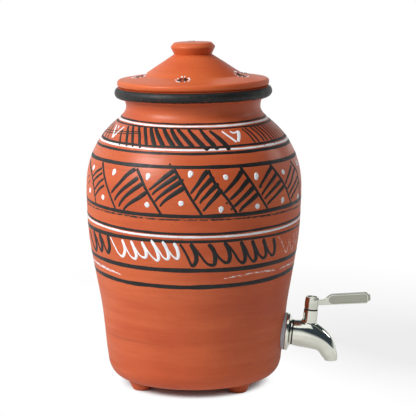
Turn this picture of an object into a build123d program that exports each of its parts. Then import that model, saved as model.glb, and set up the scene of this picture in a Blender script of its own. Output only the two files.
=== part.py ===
from build123d import *
import math
import os

os.makedirs("parts", exist_ok=True)

# Terracotta water jar with a lift-off lid and a steel quarter-turn tap.
# Millimetres. The origin is on the jar's axis at floor level, +Z is up and the
# tap points along +X.

# Jar: heights are above the floor unless a comment says otherwise
foot_height = 8.4
jar_height = 275.4
body_radius = 98.5
belly_height = 175.8
base_radius = 67.9
heel_reach = 12.5
heel_rise = 19.6
heel_lean = 8.0
neck_radius = 61.2
neck_drop = 18.4
wall = 7.4
floor_thickness = 9.0
rim_roll_radius = 5.3
rim_reach = 10.4
rim_land_drop = 0.3
rim_edge_round = 3.0
rim_roll_start_angle = -120.0

# Heel, lower wall up to the belly and upper wall up to the neck: each pair is the
# share of the way outwards and the share of the way up
heel_shares = [(0.26, 0.034), (0.5, 0.134), (0.71, 0.295), (0.86, 0.49), (0.95, 0.7)]
lower_wall_shares = [(0.082, 0.081), (0.183, 0.194), (0.337, 0.349), (0.608, 0.536), (0.856, 0.723)]
upper_wall_shares = [(0.968, 0.288), (0.81, 0.515), (0.584, 0.685), (0.276, 0.831), (0.088, 0.914)]
inner_wall_shares = [0.12, 0.25, 0.4, 0.55, 0.68, 0.79, 0.88, 0.95]

# Feet: pressed nubs of clay, the front pair nearer the tap's side
foot_circle_radius = 59.0
foot_front_angle = 43.0
foot_rear_angle = 141.0
foot_toe_radius = 7.4
foot_toe_round = 3.0
foot_root_radius = 11.6

# Lid: heights are above its seat on the rim
lid_seat_gap = 0.3
lid_radius = 69.1
lid_edge_height = 6.0
lid_edge_round = 2.7
lid_break_radius = 45.5
lid_break_height = 10.0
lid_break_round = 6.0
lid_cone_height = 28.7
lid_wall = 7.0
lid_play = 1.2
lid_flange_depth = 8.0
lid_flange_thickness = 6.0
lid_flange_round = 1.5
lid_hollow_round = 4.0

# Knob on the lid
knob_root_radius = 17.1
knob_radius = 20.5
knob_top_radius = 17.0
knob_bevel_height = 7.0
knob_edge_height = 10.6
knob_height = 11.6
knob_edge_round = 1.6

# Tap, measured along its own axis from the wall's outer face
tap_height = 47.7
spot_face_depth = 0.3
spot_face_margin = 0.8
hole_clearance = 0.5
gasket_radius = 17.2
gasket_thickness = 1.7
gasket_round = 0.6
flange_radius = 17.5
flange_thickness = 2.9
flange_round = 0.9
collar_radius = 12.3
flange_slope_length = 2.0
collar_length = 0.9
shank_radius = 8.0
shank_length = 22.0
body_seal_radius = 11.5
body_seal_thickness = 1.4
nose_radius = 9.2
barrel_start_radius = 12.1
barrel_radius = 12.9
barrel_end = 19.0
way_radius = 4.0

# Inner hardware on the shank
inner_gasket_radius = 15.0
inner_gasket_thickness = 2.5
inner_washer_radius = 14.6
inner_washer_thickness = 1.5
nut_across_flats = 22.0
nut_thickness = 7.0
nut_chamfer = 0.8
hardware_clearance = 0.15

# Spout: its outlet faces straight down
outlet_along = 46.25
outlet_drop = 22.0
outlet_radius = 5.75
spout_path_shares = [(0.415, 0.11), (0.715, 0.333), (0.925, 0.723)]
spout_radius_shares = [1.0, 0.888, 0.58, 0.294, 0.0]

# Valve: ball, seats, stem and tower
stem_along = 22.8
ball_radius = 7.5
running_clearance = 0.05
chamber_radius = 8.1
seat_ring_reach = 7.9
seat_ring_face = 4.5
tang_depth = 2.2
tang_thickness = 3.0
tang_width = 7.0
stem_radius = 3.2
stem_collar_radius = 4.8
stem_collar_height = 1.8
stem_collar_base = 8.2
tower_radius = 6.6
tower_height = 23.1
tower_foot_round = 2.4
o_ring_thickness = 1.0
o_ring_groove_width = 1.3
o_ring_low_height = 13.5
o_ring_high_height = 18.5
drive_square = 4.4
drive_height = 7.0
stem_washer_radius = 6.2
stem_washer_thickness = 1.0
hub_gap = 0.1

# Lever: hub and blade in one casting, heights above the hub's foot, reaches
# along the blade from the stem
hub_radius = 6.55
hub_foot_radius = 6.15
hub_top_radius = 6.0
hub_height = 11.2
hub_round = 0.5
hub_recess_radius = 4.5
hub_recess_depth = 2.2
blade_root_height = 3.3
blade_rise_angle = 9.6
blade_reach = 52.6
blade_depth = 9.3
blade_tip_depth = 9.7
blade_thickness = 6.0
blade_round = 0.5
blade_tip_round = 2.6
shoulder_reach = 20.6
neck_dip_reach = 9.4
neck_dip_depth = 4.8
tip_nub_reach = 2.0
tip_nub_depth = 5.6
tip_nub_thickness = 3.4
tip_nub_round = 1.2
panel_recess = 0.7
panel_start_reach = 16.4
panel_margin = 1.0
screw_head_radius = 3.9
screw_head_height = 1.6
screw_head_round = 0.4
screw_shaft_radius = 1.5
screw_length = 8.0
screw_slot_width = 1.0
screw_slot_depth = 0.7

# One overrun serves every cut that goes past a face
overrun = 5.0

# Halvings used when a height is looked up on the wall's line
halvings = 40

# Places worked out from the sizes above
neck_height = jar_height - neck_drop
heel_point = (base_radius + heel_reach, foot_height + heel_rise)
neck_point = (neck_radius, neck_height)
neck_bore_radius = neck_radius - wall
rim_roll_centre = (neck_radius + rim_reach - rim_roll_radius, jar_height + rim_land_drop - rim_roll_radius)
rim_land_angle = math.degrees(math.asin((jar_height - rim_roll_centre[1]) / rim_roll_radius))
lid_seat = jar_height + lid_seat_gap
lid_flange_radius = neck_bore_radius - lid_play
lid_hollow_radius = lid_flange_radius - lid_flange_thickness
knob_seat = lid_seat + lid_cone_height


def between(low, high, share):
    return low + share * (high - low)


# Outer line of the heel and of the wall above it, up to the neck
heel_top_rise = (math.sin(math.radians(heel_lean)), math.cos(math.radians(heel_lean)))
with BuildLine() as outer_heel:
    Spline(
        (base_radius, foot_height),
        *[(base_radius + heel_reach * out, foot_height + heel_rise * up) for out, up in heel_shares],
        heel_point,
        tangents=((1, 0), heel_top_rise),
    )
heel_edge = outer_heel.edges()[0]

with BuildLine() as outer_wall:
    Spline(
        heel_point,
        *[
            (between(heel_point[0], body_radius, out), between(heel_point[1], belly_height, up))
            for out, up in lower_wall_shares
        ],
        (body_radius, belly_height),
        *[
            (between(neck_radius, body_radius, out), between(belly_height, neck_height, up))
            for out, up in upper_wall_shares
        ],
        neck_point,
        tangents=(heel_top_rise, (0, 1)),
    )
wall_edge = outer_wall.edges()[0]


def step_in(share):
    # The point of the inner face that faces the outer one at this share of the line
    point = wall_edge @ share
    rise = wall_edge % share
    return (point.X - wall * rise.Y, point.Y + wall * rise.X)


def wall_share_at(height):
    low = 0.0
    high = 1.0
    for _ in range(halvings):
        middle = (low + high) / 2
        if (wall_edge @ middle).Y < height:
            low = middle
        else:
            high = middle
    return middle


with BuildLine() as inner_wall:
    Spline(
        *[step_in(share) for share in (0, *inner_wall_shares, 1)],
        tangents=(heel_top_rise, (0, 1)),
    )
inner_wall_start = step_in(0)
inner_floor_radius = inner_wall_start[0] - heel_reach

# The tap stands square to the wall where it goes through
tap_share = wall_share_at(tap_height)
wall_point = wall_edge @ tap_share
wall_rise = wall_edge % tap_share
tap_direction = Vector(wall_rise.Y, 0, -wall_rise.X)
stem_direction = Vector(wall_rise.X, 0, wall_rise.Y)
tap_origin = Vector(wall_point.X, 0, wall_point.Y)
tap_axis = Axis(tap_origin, tap_direction)
tap_side = Plane(origin=tap_origin, x_dir=tap_direction, z_dir=(0, -1, 0))


def tap_point(along, height):
    # Point in the tap's middle plane, height measured square to its axis
    return tap_side.from_local_coords((along, height, 0))


def across(along):
    # Plane square to the tap's axis
    return Plane(origin=tap_point(along, 0), x_dir=(0, 1, 0), z_dir=tap_direction)


def level(height):
    # Plane square to the stem
    return Plane(
        origin=tap_point(stem_along, height),
        x_dir=tap_direction,
        z_dir=stem_direction,
    )


stem_axis = Axis(tap_point(stem_along, 0), stem_direction)
flange_front = gasket_thickness + flange_thickness
collar_start = flange_front + flange_slope_length
collar_end = collar_start + collar_length
barrel_start = collar_end + body_seal_thickness
nose_end = stem_along - seat_ring_reach
inner_seat = spot_face_depth - wall
inner_washer_start = inner_seat - inner_gasket_thickness
nut_start = inner_washer_start - inner_washer_thickness
stem_bore_radius = stem_radius + running_clearance
hub_foot = tower_height + stem_washer_thickness + hub_gap
hub_web_top = hub_foot + hub_height - hub_recess_depth

# Jar: one thrown piece with a rolled rim and a hole for the tap, spot-faced inside
with BuildPart() as jar_body:
    with BuildSketch(Plane.XZ):
        with BuildLine():
            add(heel_edge)
            add(wall_edge)
            rim_roll = CenterArc(
                rim_roll_centre, rim_roll_radius, rim_roll_start_angle, rim_land_angle - rim_roll_start_angle
            )
            TangentArc(neck_point, rim_roll @ 0, tangent=(0, 1))
            rim_land = Line(rim_roll @ 1, (neck_bore_radius + rim_edge_round, jar_height))
            rim_lip = TangentArc(
                rim_land @ 1, (neck_bore_radius, jar_height - rim_edge_round), tangent=(-1, 0)
            )
            Line(rim_lip @ 1, (neck_bore_radius, neck_height))
            add(inner_wall.line)
            Spline(
                inner_wall_start,
                *[
                    (
                        inner_floor_radius + heel_reach * out,
                        between(foot_height + floor_thickness, inner_wall_start[1], up),
                    )
                    for out, up in reversed(heel_shares)
                ],
                (inner_floor_radius, foot_height + floor_thickness),
                tangents=((-heel_top_rise[0], -heel_top_rise[1]), (-1, 0)),
            )
            Polyline(
                (inner_floor_radius, foot_height + floor_thickness),
                (0, foot_height + floor_thickness),
                (0, foot_height),
                (base_radius, foot_height),
            )
        make_face()
    revolve(axis=Axis.Z)
    with BuildSketch(across(inner_seat)):
        Circle(inner_gasket_radius + spot_face_margin)
    extrude(amount=-overrun, mode=Mode.SUBTRACT)
    with BuildSketch(across(overrun)):
        Circle(shank_radius + hole_clearance)
    extrude(amount=inner_seat - 2 * overrun, mode=Mode.SUBTRACT)

jar_body.part.label = "jar_body"
export_step(jar_body.part, "parts/jar_body.step")

# Outer form of the jar, filled, against which the feet are pressed
with BuildPart() as jar_form:
    with BuildSketch(Plane.XZ):
        with BuildLine():
            add(heel_edge)
            add(wall_edge)
            Polyline(neck_point, (0, neck_height), (0, foot_height), (base_radius, foot_height))
        make_face()
    revolve(axis=Axis.Z)

# Feet: four clay nubs that follow the heel where they meet it
for foot_name, foot_angle in (
    ("foot_front_right", -foot_front_angle),
    ("foot_front_left", foot_front_angle),
    ("foot_rear_left", foot_rear_angle),
    ("foot_rear_right", -foot_rear_angle),
):
    foot_turn = math.radians(foot_angle)
    foot_centre = (foot_circle_radius * math.cos(foot_turn), foot_circle_radius * math.sin(foot_turn), 0)
    with BuildPart() as foot:
        with BuildSketch(Plane(origin=foot_centre, x_dir=(1, 0, 0), z_dir=(0, -1, 0))):
            with BuildLine():
                Polyline(
                    (0, 0),
                    (foot_toe_radius, 0),
                    (foot_root_radius, foot_height),
                    (foot_root_radius, heel_point[1]),
                    (0, heel_point[1]),
                    close=True,
                )
            foot_face = make_face()
            fillet(foot_face.vertices().sort_by_distance((foot_toe_radius, 0))[0], foot_toe_round)
        revolve(axis=Axis(foot_centre, (0, 0, 1)))
        add(jar_form.part, mode=Mode.SUBTRACT)
    foot.part.label = foot_name
    export_step(foot.part, f"parts/{foot_name}.step")

# Lid: flat brim, straight cone and a ring beneath that sits inside the neck
with BuildPart() as lid:
    with BuildSketch(Plane.XZ):
        with BuildLine():
            Polyline(
                (0, lid_seat + lid_cone_height),
                (knob_root_radius, lid_seat + lid_cone_height),
                (lid_break_radius, lid_seat + lid_break_height),
                (lid_radius, lid_seat + lid_edge_height),
                (lid_radius, lid_seat),
                (lid_flange_radius, lid_seat),
                (lid_flange_radius, lid_seat - lid_flange_depth),
                (lid_hollow_radius, lid_seat - lid_flange_depth),
                (lid_hollow_radius, lid_seat + lid_break_height - lid_wall),
                (knob_root_radius, lid_seat + lid_cone_height - lid_wall),
                (0, lid_seat + lid_cone_height - lid_wall),
                close=True,
            )
        lid_face = make_face()
        lid_corners = lid_face.vertices()
        fillet(lid_corners.group_by(Axis.X)[-1], lid_edge_round)
        fillet(lid_corners.group_by(Axis.Y)[0], lid_flange_round)
        lid_break = (lid_break_radius, lid_seat + lid_break_height)
        fillet(lid_corners.sort_by_distance(lid_break)[0], lid_break_round)
        lid_hollow_corner = (knob_root_radius, lid_seat + lid_cone_height - lid_wall)
        fillet(lid_corners.sort_by_distance(lid_hollow_corner)[0], lid_hollow_round)
    revolve(axis=Axis.Z)

lid.part.label = "lid"
export_step(lid.part, "parts/lid.step")

# Knob: bevelled above and below its widest line
with BuildPart() as lid_knob:
    with BuildSketch(Plane.XZ):
        with BuildLine():
            Line((0, knob_seat), (knob_root_radius, knob_seat))
            Line((knob_root_radius, knob_seat), (knob_radius, knob_seat + knob_bevel_height))
            Line(
                (knob_radius, knob_seat + knob_bevel_height),
                (knob_top_radius, knob_seat + knob_edge_height),
            )
            TangentArc(
                (0, knob_seat + knob_height),
                (knob_top_radius, knob_seat + knob_edge_height),
                tangent=(1, 0),
            )
            Line((0, knob_seat + knob_height), (0, knob_seat))
        knob_face = make_face()
        knob_corners = knob_face.vertices()
        fillet(knob_corners.group_by(Axis.X)[-1], knob_edge_round)
        fillet(
            knob_corners.sort_by_distance((knob_top_radius, knob_seat + knob_edge_height))[0],
            knob_edge_round,
        )
    revolve(axis=Axis.Z)

lid_knob.part.label = "lid_knob"
export_step(lid_knob.part, "parts/lid_knob.step")


def ring_section(start, end, inner_radius, outer_radius):
    # Half section of a ring round the tap's axis, for a sketch on the side plane
    return [
        (start, inner_radius),
        (end, inner_radius),
        (end, outer_radius),
        (start, outer_radius),
    ]


# Gaskets, washer and nut that hold the tap in the wall: the outer gasket takes the
# wall's curve, the others lie flat
with BuildPart() as outer_gasket:
    with BuildSketch(across(gasket_thickness)):
        Circle(gasket_radius)
        Circle(shank_radius + hardware_clearance, mode=Mode.SUBTRACT)
    extrude(amount=-gasket_thickness - overrun)
    add(jar_form.part, mode=Mode.SUBTRACT)

outer_gasket.part.label = "outer_gasket"
export_step(outer_gasket.part, "parts/outer_gasket.step")

with BuildPart() as inner_gasket:
    with BuildSketch(tap_side):
        with BuildLine():
            Polyline(
                *ring_section(
                    inner_washer_start,
                    inner_seat,
                    shank_radius + hardware_clearance,
                    inner_gasket_radius,
                ),
                close=True,
            )
        inner_gasket_face = make_face()
        fillet(inner_gasket_face.vertices().group_by(Axis.Y)[-1], gasket_round)
    revolve(axis=tap_axis)

inner_gasket.part.label = "inner_gasket"
export_step(inner_gasket.part, "parts/inner_gasket.step")

with BuildPart() as inner_washer:
    with BuildSketch(tap_side):
        with BuildLine():
            Polyline(
                *ring_section(
                    nut_start,
                    inner_washer_start,
                    shank_radius + hardware_clearance,
                    inner_washer_radius,
                ),
                close=True,
            )
        make_face()
    revolve(axis=tap_axis)

inner_washer.part.label = "inner_washer"
export_step(inner_washer.part, "parts/inner_washer.step")

with BuildPart() as lock_nut:
    with BuildSketch(across(nut_start)):
        RegularPolygon(nut_across_flats / 2, 6, major_radius=False)
        Circle(shank_radius + running_clearance, mode=Mode.SUBTRACT)
    extrude(amount=-nut_thickness)
    with BuildSketch(tap_side):
        with BuildLine():
            Polyline(
                (nut_start, 0),
                (nut_start, nut_across_flats),
                (nut_start - nut_thickness + nut_chamfer, nut_across_flats),
                (nut_start - nut_thickness + nut_chamfer, nut_across_flats / 2 + nut_chamfer),
                (nut_start - nut_thickness, nut_across_flats / 2 - nut_chamfer),
                (nut_start - nut_thickness, 0),
                close=True,
            )
        make_face()
    revolve(axis=tap_axis, mode=Mode.INTERSECT)

lock_nut.part.label = "lock_nut"
export_step(lock_nut.part, "parts/lock_nut.step")

# Tailpiece: shank through the wall, flange, collar and the nose that closes the valve
with BuildPart() as tap_tailpiece:
    with BuildSketch(tap_side):
        with BuildLine():
            Polyline(
                (-shank_length, way_radius),
                (-shank_length, shank_radius),
                (gasket_thickness, shank_radius),
                (gasket_thickness, flange_radius),
                (flange_front, flange_radius),
                (collar_start, collar_radius),
                (collar_end, collar_radius),
                (collar_end, nose_radius),
                (nose_end, nose_radius),
                (nose_end, way_radius),
                close=True,
            )
        tail_face = make_face()
        fillet(tail_face.vertices().group_by(Axis.Y)[-1], flange_round)
    revolve(axis=tap_axis)

tap_tailpiece.part.label = "tap_tailpiece"
export_step(tap_tailpiece.part, "parts/tap_tailpiece.step")

with BuildPart() as body_seal:
    with BuildSketch(tap_side):
        with BuildLine():
            Polyline(
                *ring_section(
                    collar_end,
                    barrel_start,
                    nose_radius + running_clearance,
                    body_seal_radius,
                ),
                close=True,
            )
        make_face()
    revolve(axis=tap_axis)

body_seal.part.label = "body_seal"
export_step(body_seal.part, "parts/body_seal.step")

# Centre line of the casting: straight through the barrel, then down to the outlet
with BuildLine() as spout_bend:
    Spline(
        tap_point(barrel_end, 0),
        *[
            tap_point(between(barrel_end, outlet_along, out), -outlet_drop * down)
            for out, down in spout_path_shares
        ],
        tap_point(outlet_along, -outlet_drop),
        tangents=(tap_direction, (0, 0, -1)),
    )
spout_line = spout_bend.edges()[0]

with BuildLine() as casting_path:
    Line(tap_point(barrel_start, 0), tap_point(barrel_end, 0))
    add(spout_line)

with BuildLine() as way_path:
    Line(tap_point(stem_along, 0), tap_point(barrel_end, 0))
    add(spout_line)
    Line(spout_line @ 1, (spout_line @ 1) + (spout_line % 1) * overrun)


def spout_plane(share):
    return Plane(origin=spout_line @ share, x_dir=(0, 1, 0), z_dir=spout_line % share)


def is_tower_foot(edge):
    # True for the edges where the tower leaves the barrel
    points = [tap_side.to_local_coords(edge @ share) for share in (0, 0.5, 1)]
    reaches = [math.hypot(point.X - stem_along, point.Z) for point in points]
    return all(abs(reach - tower_radius) < running_clearance for reach in reaches) and all(
        point.Y < barrel_radius + running_clearance for point in points
    )


# Tap body: barrel, stem tower and down-turned spout in one casting
with BuildPart() as tap_body:
    with BuildSketch(across(barrel_start)):
        Circle(barrel_start_radius)
    for station, swell in enumerate(spout_radius_shares):
        with BuildSketch(spout_plane(station / (len(spout_radius_shares) - 1))):
            Circle(between(outlet_radius, barrel_radius, swell))
    sweep(path=casting_path.wires()[0], multisection=True)
    with BuildSketch(level(0)):
        Circle(tower_radius)
    extrude(amount=tower_height)
    fillet(tap_body.edges().filter_by(is_tower_foot), tower_foot_round)
    with BuildSketch(across(nose_end)):
        Circle(nose_radius + running_clearance)
    extrude(amount=-nose_end, mode=Mode.SUBTRACT)
    with BuildSketch(across(nose_end)):
        Circle(chamber_radius)
    extrude(amount=2 * seat_ring_reach, mode=Mode.SUBTRACT)
    with BuildSketch(across(stem_along)):
        Circle(way_radius)
    sweep(path=way_path.wires()[0], mode=Mode.SUBTRACT)
    with BuildSketch(level(0)):
        Circle(stem_collar_radius + running_clearance)
    extrude(amount=stem_collar_base + stem_collar_height + running_clearance, mode=Mode.SUBTRACT)
    with BuildSketch(level(0)):
        Circle(stem_bore_radius)
    extrude(amount=tower_height + overrun, mode=Mode.SUBTRACT)

tap_body.part.label = "tap_body"
export_step(tap_body.part, "parts/tap_body.step")

# Ball: the port is turned across the way, so the tap is shut
with BuildPart() as valve_ball:
    with BuildSketch(tap_side):
        with BuildLine():
            Line((stem_along, -ball_radius), (stem_along, ball_radius))
            ThreePointArc(
                (stem_along, ball_radius),
                (stem_along + ball_radius, 0),
                (stem_along, -ball_radius),
            )
        make_face()
    revolve(axis=stem_axis)
    with BuildSketch(tap_side):
        with Locations((stem_along, 0)):
            Circle(way_radius)
    extrude(amount=ball_radius, both=True, mode=Mode.SUBTRACT)
    with BuildSketch(level(ball_radius - tang_depth)):
        Rectangle(2 * ball_radius, tang_thickness + 2 * running_clearance)
    extrude(amount=tang_depth, mode=Mode.SUBTRACT)

valve_ball.part.label = "valve_ball"
export_step(valve_ball.part, "parts/valve_ball.step")

# Seat rings: one on each side of the ball, hollowed to its curve
for seat_name, seat_side in (("rear_seat", -1), ("front_seat", 1)):
    with BuildPart() as seat_ring:
        with BuildSketch(tap_side):
            with BuildLine():
                Polyline(
                    *ring_section(
                        stem_along + seat_side * seat_ring_face,
                        stem_along + seat_side * seat_ring_reach,
                        way_radius,
                        chamber_radius - running_clearance,
                    ),
                    close=True,
                )
            make_face()
            with Locations((stem_along, 0)):
                Circle(ball_radius + running_clearance, mode=Mode.SUBTRACT)
        revolve(axis=tap_axis)
    seat_ring.part.label = seat_name
    export_step(seat_ring.part, f"parts/{seat_name}.step")

# Stem: tang in the ball, collar held down by the tower, shaft and square drive
groove_radius = stem_radius - o_ring_thickness
with BuildPart() as valve_stem:
    with BuildSketch(tap_side):
        with BuildLine():
            stem_profile = [
                (0, stem_collar_base),
                (stem_collar_radius, stem_collar_base),
                (stem_collar_radius, stem_collar_base + stem_collar_height),
                (stem_radius, stem_collar_base + stem_collar_height),
            ]
            for ring_height in (o_ring_low_height, o_ring_high_height):
                groove_foot = ring_height - o_ring_groove_width / 2
                groove_top = ring_height + o_ring_groove_width / 2
                stem_profile += [
                    (stem_radius, groove_foot),
                    (groove_radius, groove_foot),
                    (groove_radius, groove_top),
                    (stem_radius, groove_top),
                ]
            stem_profile += [(stem_radius, hub_foot), (0, hub_foot)]
            Polyline(*[(stem_along + reach, height) for reach, height in stem_profile], close=True)
        make_face()
    revolve(axis=stem_axis)
    with BuildSketch(level(stem_collar_base)):
        Rectangle(tang_width, tang_thickness)
    extrude(amount=-(stem_collar_base - ball_radius + tang_depth - running_clearance))
    with BuildSketch(level(hub_foot)):
        Rectangle(drive_square, drive_square)
    extrude(amount=drive_height - hub_gap)
    with BuildSketch(level(hub_web_top - screw_length - hub_gap)):
        Circle(screw_shaft_radius + running_clearance)
    extrude(amount=screw_length, mode=Mode.SUBTRACT)

valve_stem.part.label = "valve_stem"
export_step(valve_stem.part, "parts/valve_stem.step")

# O-rings in the stem's two grooves
for ring_name, ring_height in (
    ("stem_o_ring_low", o_ring_low_height),
    ("stem_o_ring_high", o_ring_high_height),
):
    with BuildPart() as o_ring:
        with BuildSketch(tap_side):
            with Locations((stem_along + groove_radius + o_ring_thickness / 2, ring_height)):
                Circle(o_ring_thickness / 2)
        revolve(axis=stem_axis)
    o_ring.part.label = ring_name
    export_step(o_ring.part, f"parts/{ring_name}.step")

# Dark washer between the tower and the lever's hub
with BuildPart() as stem_washer:
    with BuildSketch(level(tower_height)):
        Circle(stem_washer_radius)
        Circle(stem_bore_radius, mode=Mode.SUBTRACT)
    extrude(amount=stem_washer_thickness)

stem_washer.part.label = "stem_washer"
export_step(stem_washer.part, "parts/stem_washer.step")

# Plane of the blade: it rises from the hub, in line with the spout
rise_cosine = math.cos(math.radians(blade_rise_angle))
rise_sine = math.sin(math.radians(blade_rise_angle))
blade_side = Plane(
    origin=tap_point(stem_along, hub_foot + blade_root_height),
    x_dir=tap_direction * rise_cosine + stem_direction * rise_sine,
    z_dir=(0, -1, 0),
)

# Lever: blade with a recessed panel in each side, and the hub on the stem's drive
with BuildPart() as lever:
    with BuildSketch(blade_side):
        with BuildLine():
            Polyline(
                (0, neck_dip_depth),
                (0, 0),
                (blade_reach, 0),
                (blade_reach, blade_tip_depth),
                (shoulder_reach, blade_depth),
            )
            Spline(
                (shoulder_reach, blade_depth),
                (neck_dip_reach, neck_dip_depth),
                tangents=((-1, 0), (-1, 0)),
            )
            Line((neck_dip_reach, neck_dip_depth), (0, neck_dip_depth))
        blade_face = make_face()
        fillet(blade_face.vertices().group_by(Axis.X)[-1], blade_tip_round)
    extrude(amount=blade_thickness / 2, both=True)
    fillet(lever.faces().group_by(Axis.Y)[0].edges(), blade_round)
    fillet(lever.faces().group_by(Axis.Y)[-1].edges(), blade_round)
    with BuildSketch(blade_side):
        with BuildLine():
            Polyline(
                (blade_reach - overrun, (blade_tip_depth - tip_nub_depth) / 2),
                (blade_reach + tip_nub_reach, (blade_tip_depth - tip_nub_depth) / 2),
                (blade_reach + tip_nub_reach, (blade_tip_depth + tip_nub_depth) / 2),
                (blade_reach - overrun, (blade_tip_depth + tip_nub_depth) / 2),
                close=True,
            )
        nub_face = make_face()
        fillet(nub_face.vertices().group_by(Axis.X)[-1], tip_nub_round)
    extrude(amount=tip_nub_thickness / 2, both=True)
    panel_round = blade_depth / 2 - panel_margin
    for panel_side in (-1, 1):
        panel_plane = blade_side.offset(panel_side * (blade_thickness / 2 - panel_recess))
        with BuildSketch(panel_plane):
            with BuildLine():
                Polyline(
                    (panel_start_reach + panel_round, panel_margin),
                    (blade_reach - panel_margin, panel_margin),
                    (blade_reach - panel_margin, blade_tip_depth - panel_margin),
                    (panel_start_reach + panel_round, blade_depth - panel_margin),
                )
                ThreePointArc(
                    (panel_start_reach + panel_round, blade_depth - panel_margin),
                    (panel_start_reach, blade_depth / 2),
                    (panel_start_reach + panel_round, panel_margin),
                )
            panel_face = make_face()
            fillet(panel_face.vertices().group_by(Axis.X)[-1], blade_tip_round - panel_margin)
        extrude(amount=panel_side * panel_recess, mode=Mode.SUBTRACT)
    with BuildSketch(tap_side):
        with BuildLine():
            Line((stem_along, hub_foot), (stem_along + hub_foot_radius, hub_foot))
            ThreePointArc(
                (stem_along + hub_foot_radius, hub_foot),
                (stem_along + hub_radius, hub_foot + hub_height / 2),
                (stem_along + hub_top_radius, hub_foot + hub_height),
            )
            Polyline(
                (stem_along + hub_top_radius, hub_foot + hub_height),
                (stem_along, hub_foot + hub_height),
                (stem_along, hub_foot),
            )
        hub_face = make_face()
        fillet(hub_face.vertices().group_by(Axis.X)[-1], hub_round)
        fillet(hub_face.vertices().group_by(Axis.X)[-2], hub_round)
    revolve(axis=stem_axis)
    with BuildSketch(level(hub_web_top)):
        Circle(hub_recess_radius)
    extrude(amount=overrun, mode=Mode.SUBTRACT)
    with BuildSketch(level(hub_foot)):
        Rectangle(drive_square + 2 * running_clearance, drive_square + 2 * running_clearance)
    extrude(amount=drive_height, mode=Mode.SUBTRACT)
    with BuildSketch(level(hub_foot)):
        Circle(screw_shaft_radius + hardware_clearance)
    extrude(amount=hub_height, mode=Mode.SUBTRACT)

lever.part.label = "lever"
export_step(lever.part, "parts/lever.step")

# Slotted screw that holds the hub on the stem
with BuildPart() as lever_screw:
    with BuildSketch(level(hub_web_top)):
        Circle(screw_head_radius)
    extrude(amount=screw_head_height)
    fillet(lever_screw.faces().sort_by(stem_axis)[-1].edges(), screw_head_round)
    with BuildSketch(level(hub_web_top + screw_head_height - screw_slot_depth)):
        Rectangle(2 * screw_head_radius, screw_slot_width)
    extrude(amount=screw_slot_depth, mode=Mode.SUBTRACT)
    with BuildSketch(level(hub_web_top)):
        Circle(screw_shaft_radius)
    extrude(amount=-screw_length)

lever_screw.part.label = "lever_screw"
export_step(lever_screw.part, "parts/lever_screw.step")
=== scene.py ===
import bpy
import random
import numpy as np
from math import acos, asin, atan2, cos, dist, hypot, pi, radians, sin, tan
from mathutils import Matrix, Vector, noise


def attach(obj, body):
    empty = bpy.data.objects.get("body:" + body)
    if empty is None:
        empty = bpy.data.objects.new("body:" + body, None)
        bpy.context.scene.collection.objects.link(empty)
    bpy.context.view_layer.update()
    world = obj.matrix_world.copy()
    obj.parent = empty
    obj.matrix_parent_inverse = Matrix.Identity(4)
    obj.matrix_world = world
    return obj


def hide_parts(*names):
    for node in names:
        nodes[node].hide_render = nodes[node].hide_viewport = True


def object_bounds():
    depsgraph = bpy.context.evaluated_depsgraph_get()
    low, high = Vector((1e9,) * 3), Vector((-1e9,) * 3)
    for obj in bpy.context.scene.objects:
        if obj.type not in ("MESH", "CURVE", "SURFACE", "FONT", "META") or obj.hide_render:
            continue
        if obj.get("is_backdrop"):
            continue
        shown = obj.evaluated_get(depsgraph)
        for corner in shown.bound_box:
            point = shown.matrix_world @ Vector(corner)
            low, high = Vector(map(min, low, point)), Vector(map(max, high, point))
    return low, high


# Terracotta water jar with a lift-off lid and a steel tap, dressed round its
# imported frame. Lengths are in millimetres until a mesh is made.
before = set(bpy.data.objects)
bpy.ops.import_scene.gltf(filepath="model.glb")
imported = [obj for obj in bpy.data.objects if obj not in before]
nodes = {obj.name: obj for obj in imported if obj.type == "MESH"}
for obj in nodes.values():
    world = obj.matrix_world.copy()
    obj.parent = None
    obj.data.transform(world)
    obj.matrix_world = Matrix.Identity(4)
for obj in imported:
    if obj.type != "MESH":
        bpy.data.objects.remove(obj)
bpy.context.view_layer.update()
MM = 0.001

# Photograph's frame: the jar's axis stands a little left of its middle
PHOTO_SIZE = 416
PHOTO_MIDDLE = 208.0
MM_PER_PIXEL = 0.92
CAMERA_ELEVATION = radians(10.2)
CAMERA_PIXELS = 1950.0
CAMERA_SIDE_PIXELS = 14.05
CAMERA_HEIGHT_PIXELS = 176.5
CAMERA_ROLL = radians(-0.3)
TAP_YAW = radians(5.0)
SENSOR = 36.0
CAMERA_CLIP = (0.05, 100.0)

# Jar, from the floor up
FOOT_HEIGHT = 8.4
JAR_HEIGHT = 275.4
BODY_RADIUS = 98.5
BELLY_HEIGHT = 175.8
BASE_RADIUS = 67.9
HEEL_REACH = 12.5
HEEL_RISE = 19.6
HEEL_LEAN = radians(8.0)
NECK_RADIUS = 61.2
NECK_HEIGHT = 257.0
WALL = 7.4
FLOOR_THICKNESS = 9.0
RIM_ROLL_RADIUS = 5.3
RIM_REACH = 10.4
RIM_LAND_DROP = 0.3
RIM_EDGE_ROUND = 3.0
RIM_ROLL_START = radians(-120.0)
# The rim, thrown a little askew, stands this much higher at the front and at the right
RIM_LEAN_FRONT = 1.5
RIM_LEAN_SIDE = 0.7
RIM_LEAN_TOP = 266.0
HEEL_SHARES = [(0.26, 0.034), (0.5, 0.134), (0.71, 0.295), (0.86, 0.49), (0.95, 0.7)]
LOWER_WALL_SHARES = [
    (0.082, 0.081), (0.183, 0.194), (0.337, 0.349), (0.608, 0.536), (0.856, 0.723),
]
UPPER_WALL_SHARES = [
    (0.968, 0.288), (0.81, 0.515), (0.584, 0.685), (0.276, 0.831), (0.088, 0.914),
]

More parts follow.
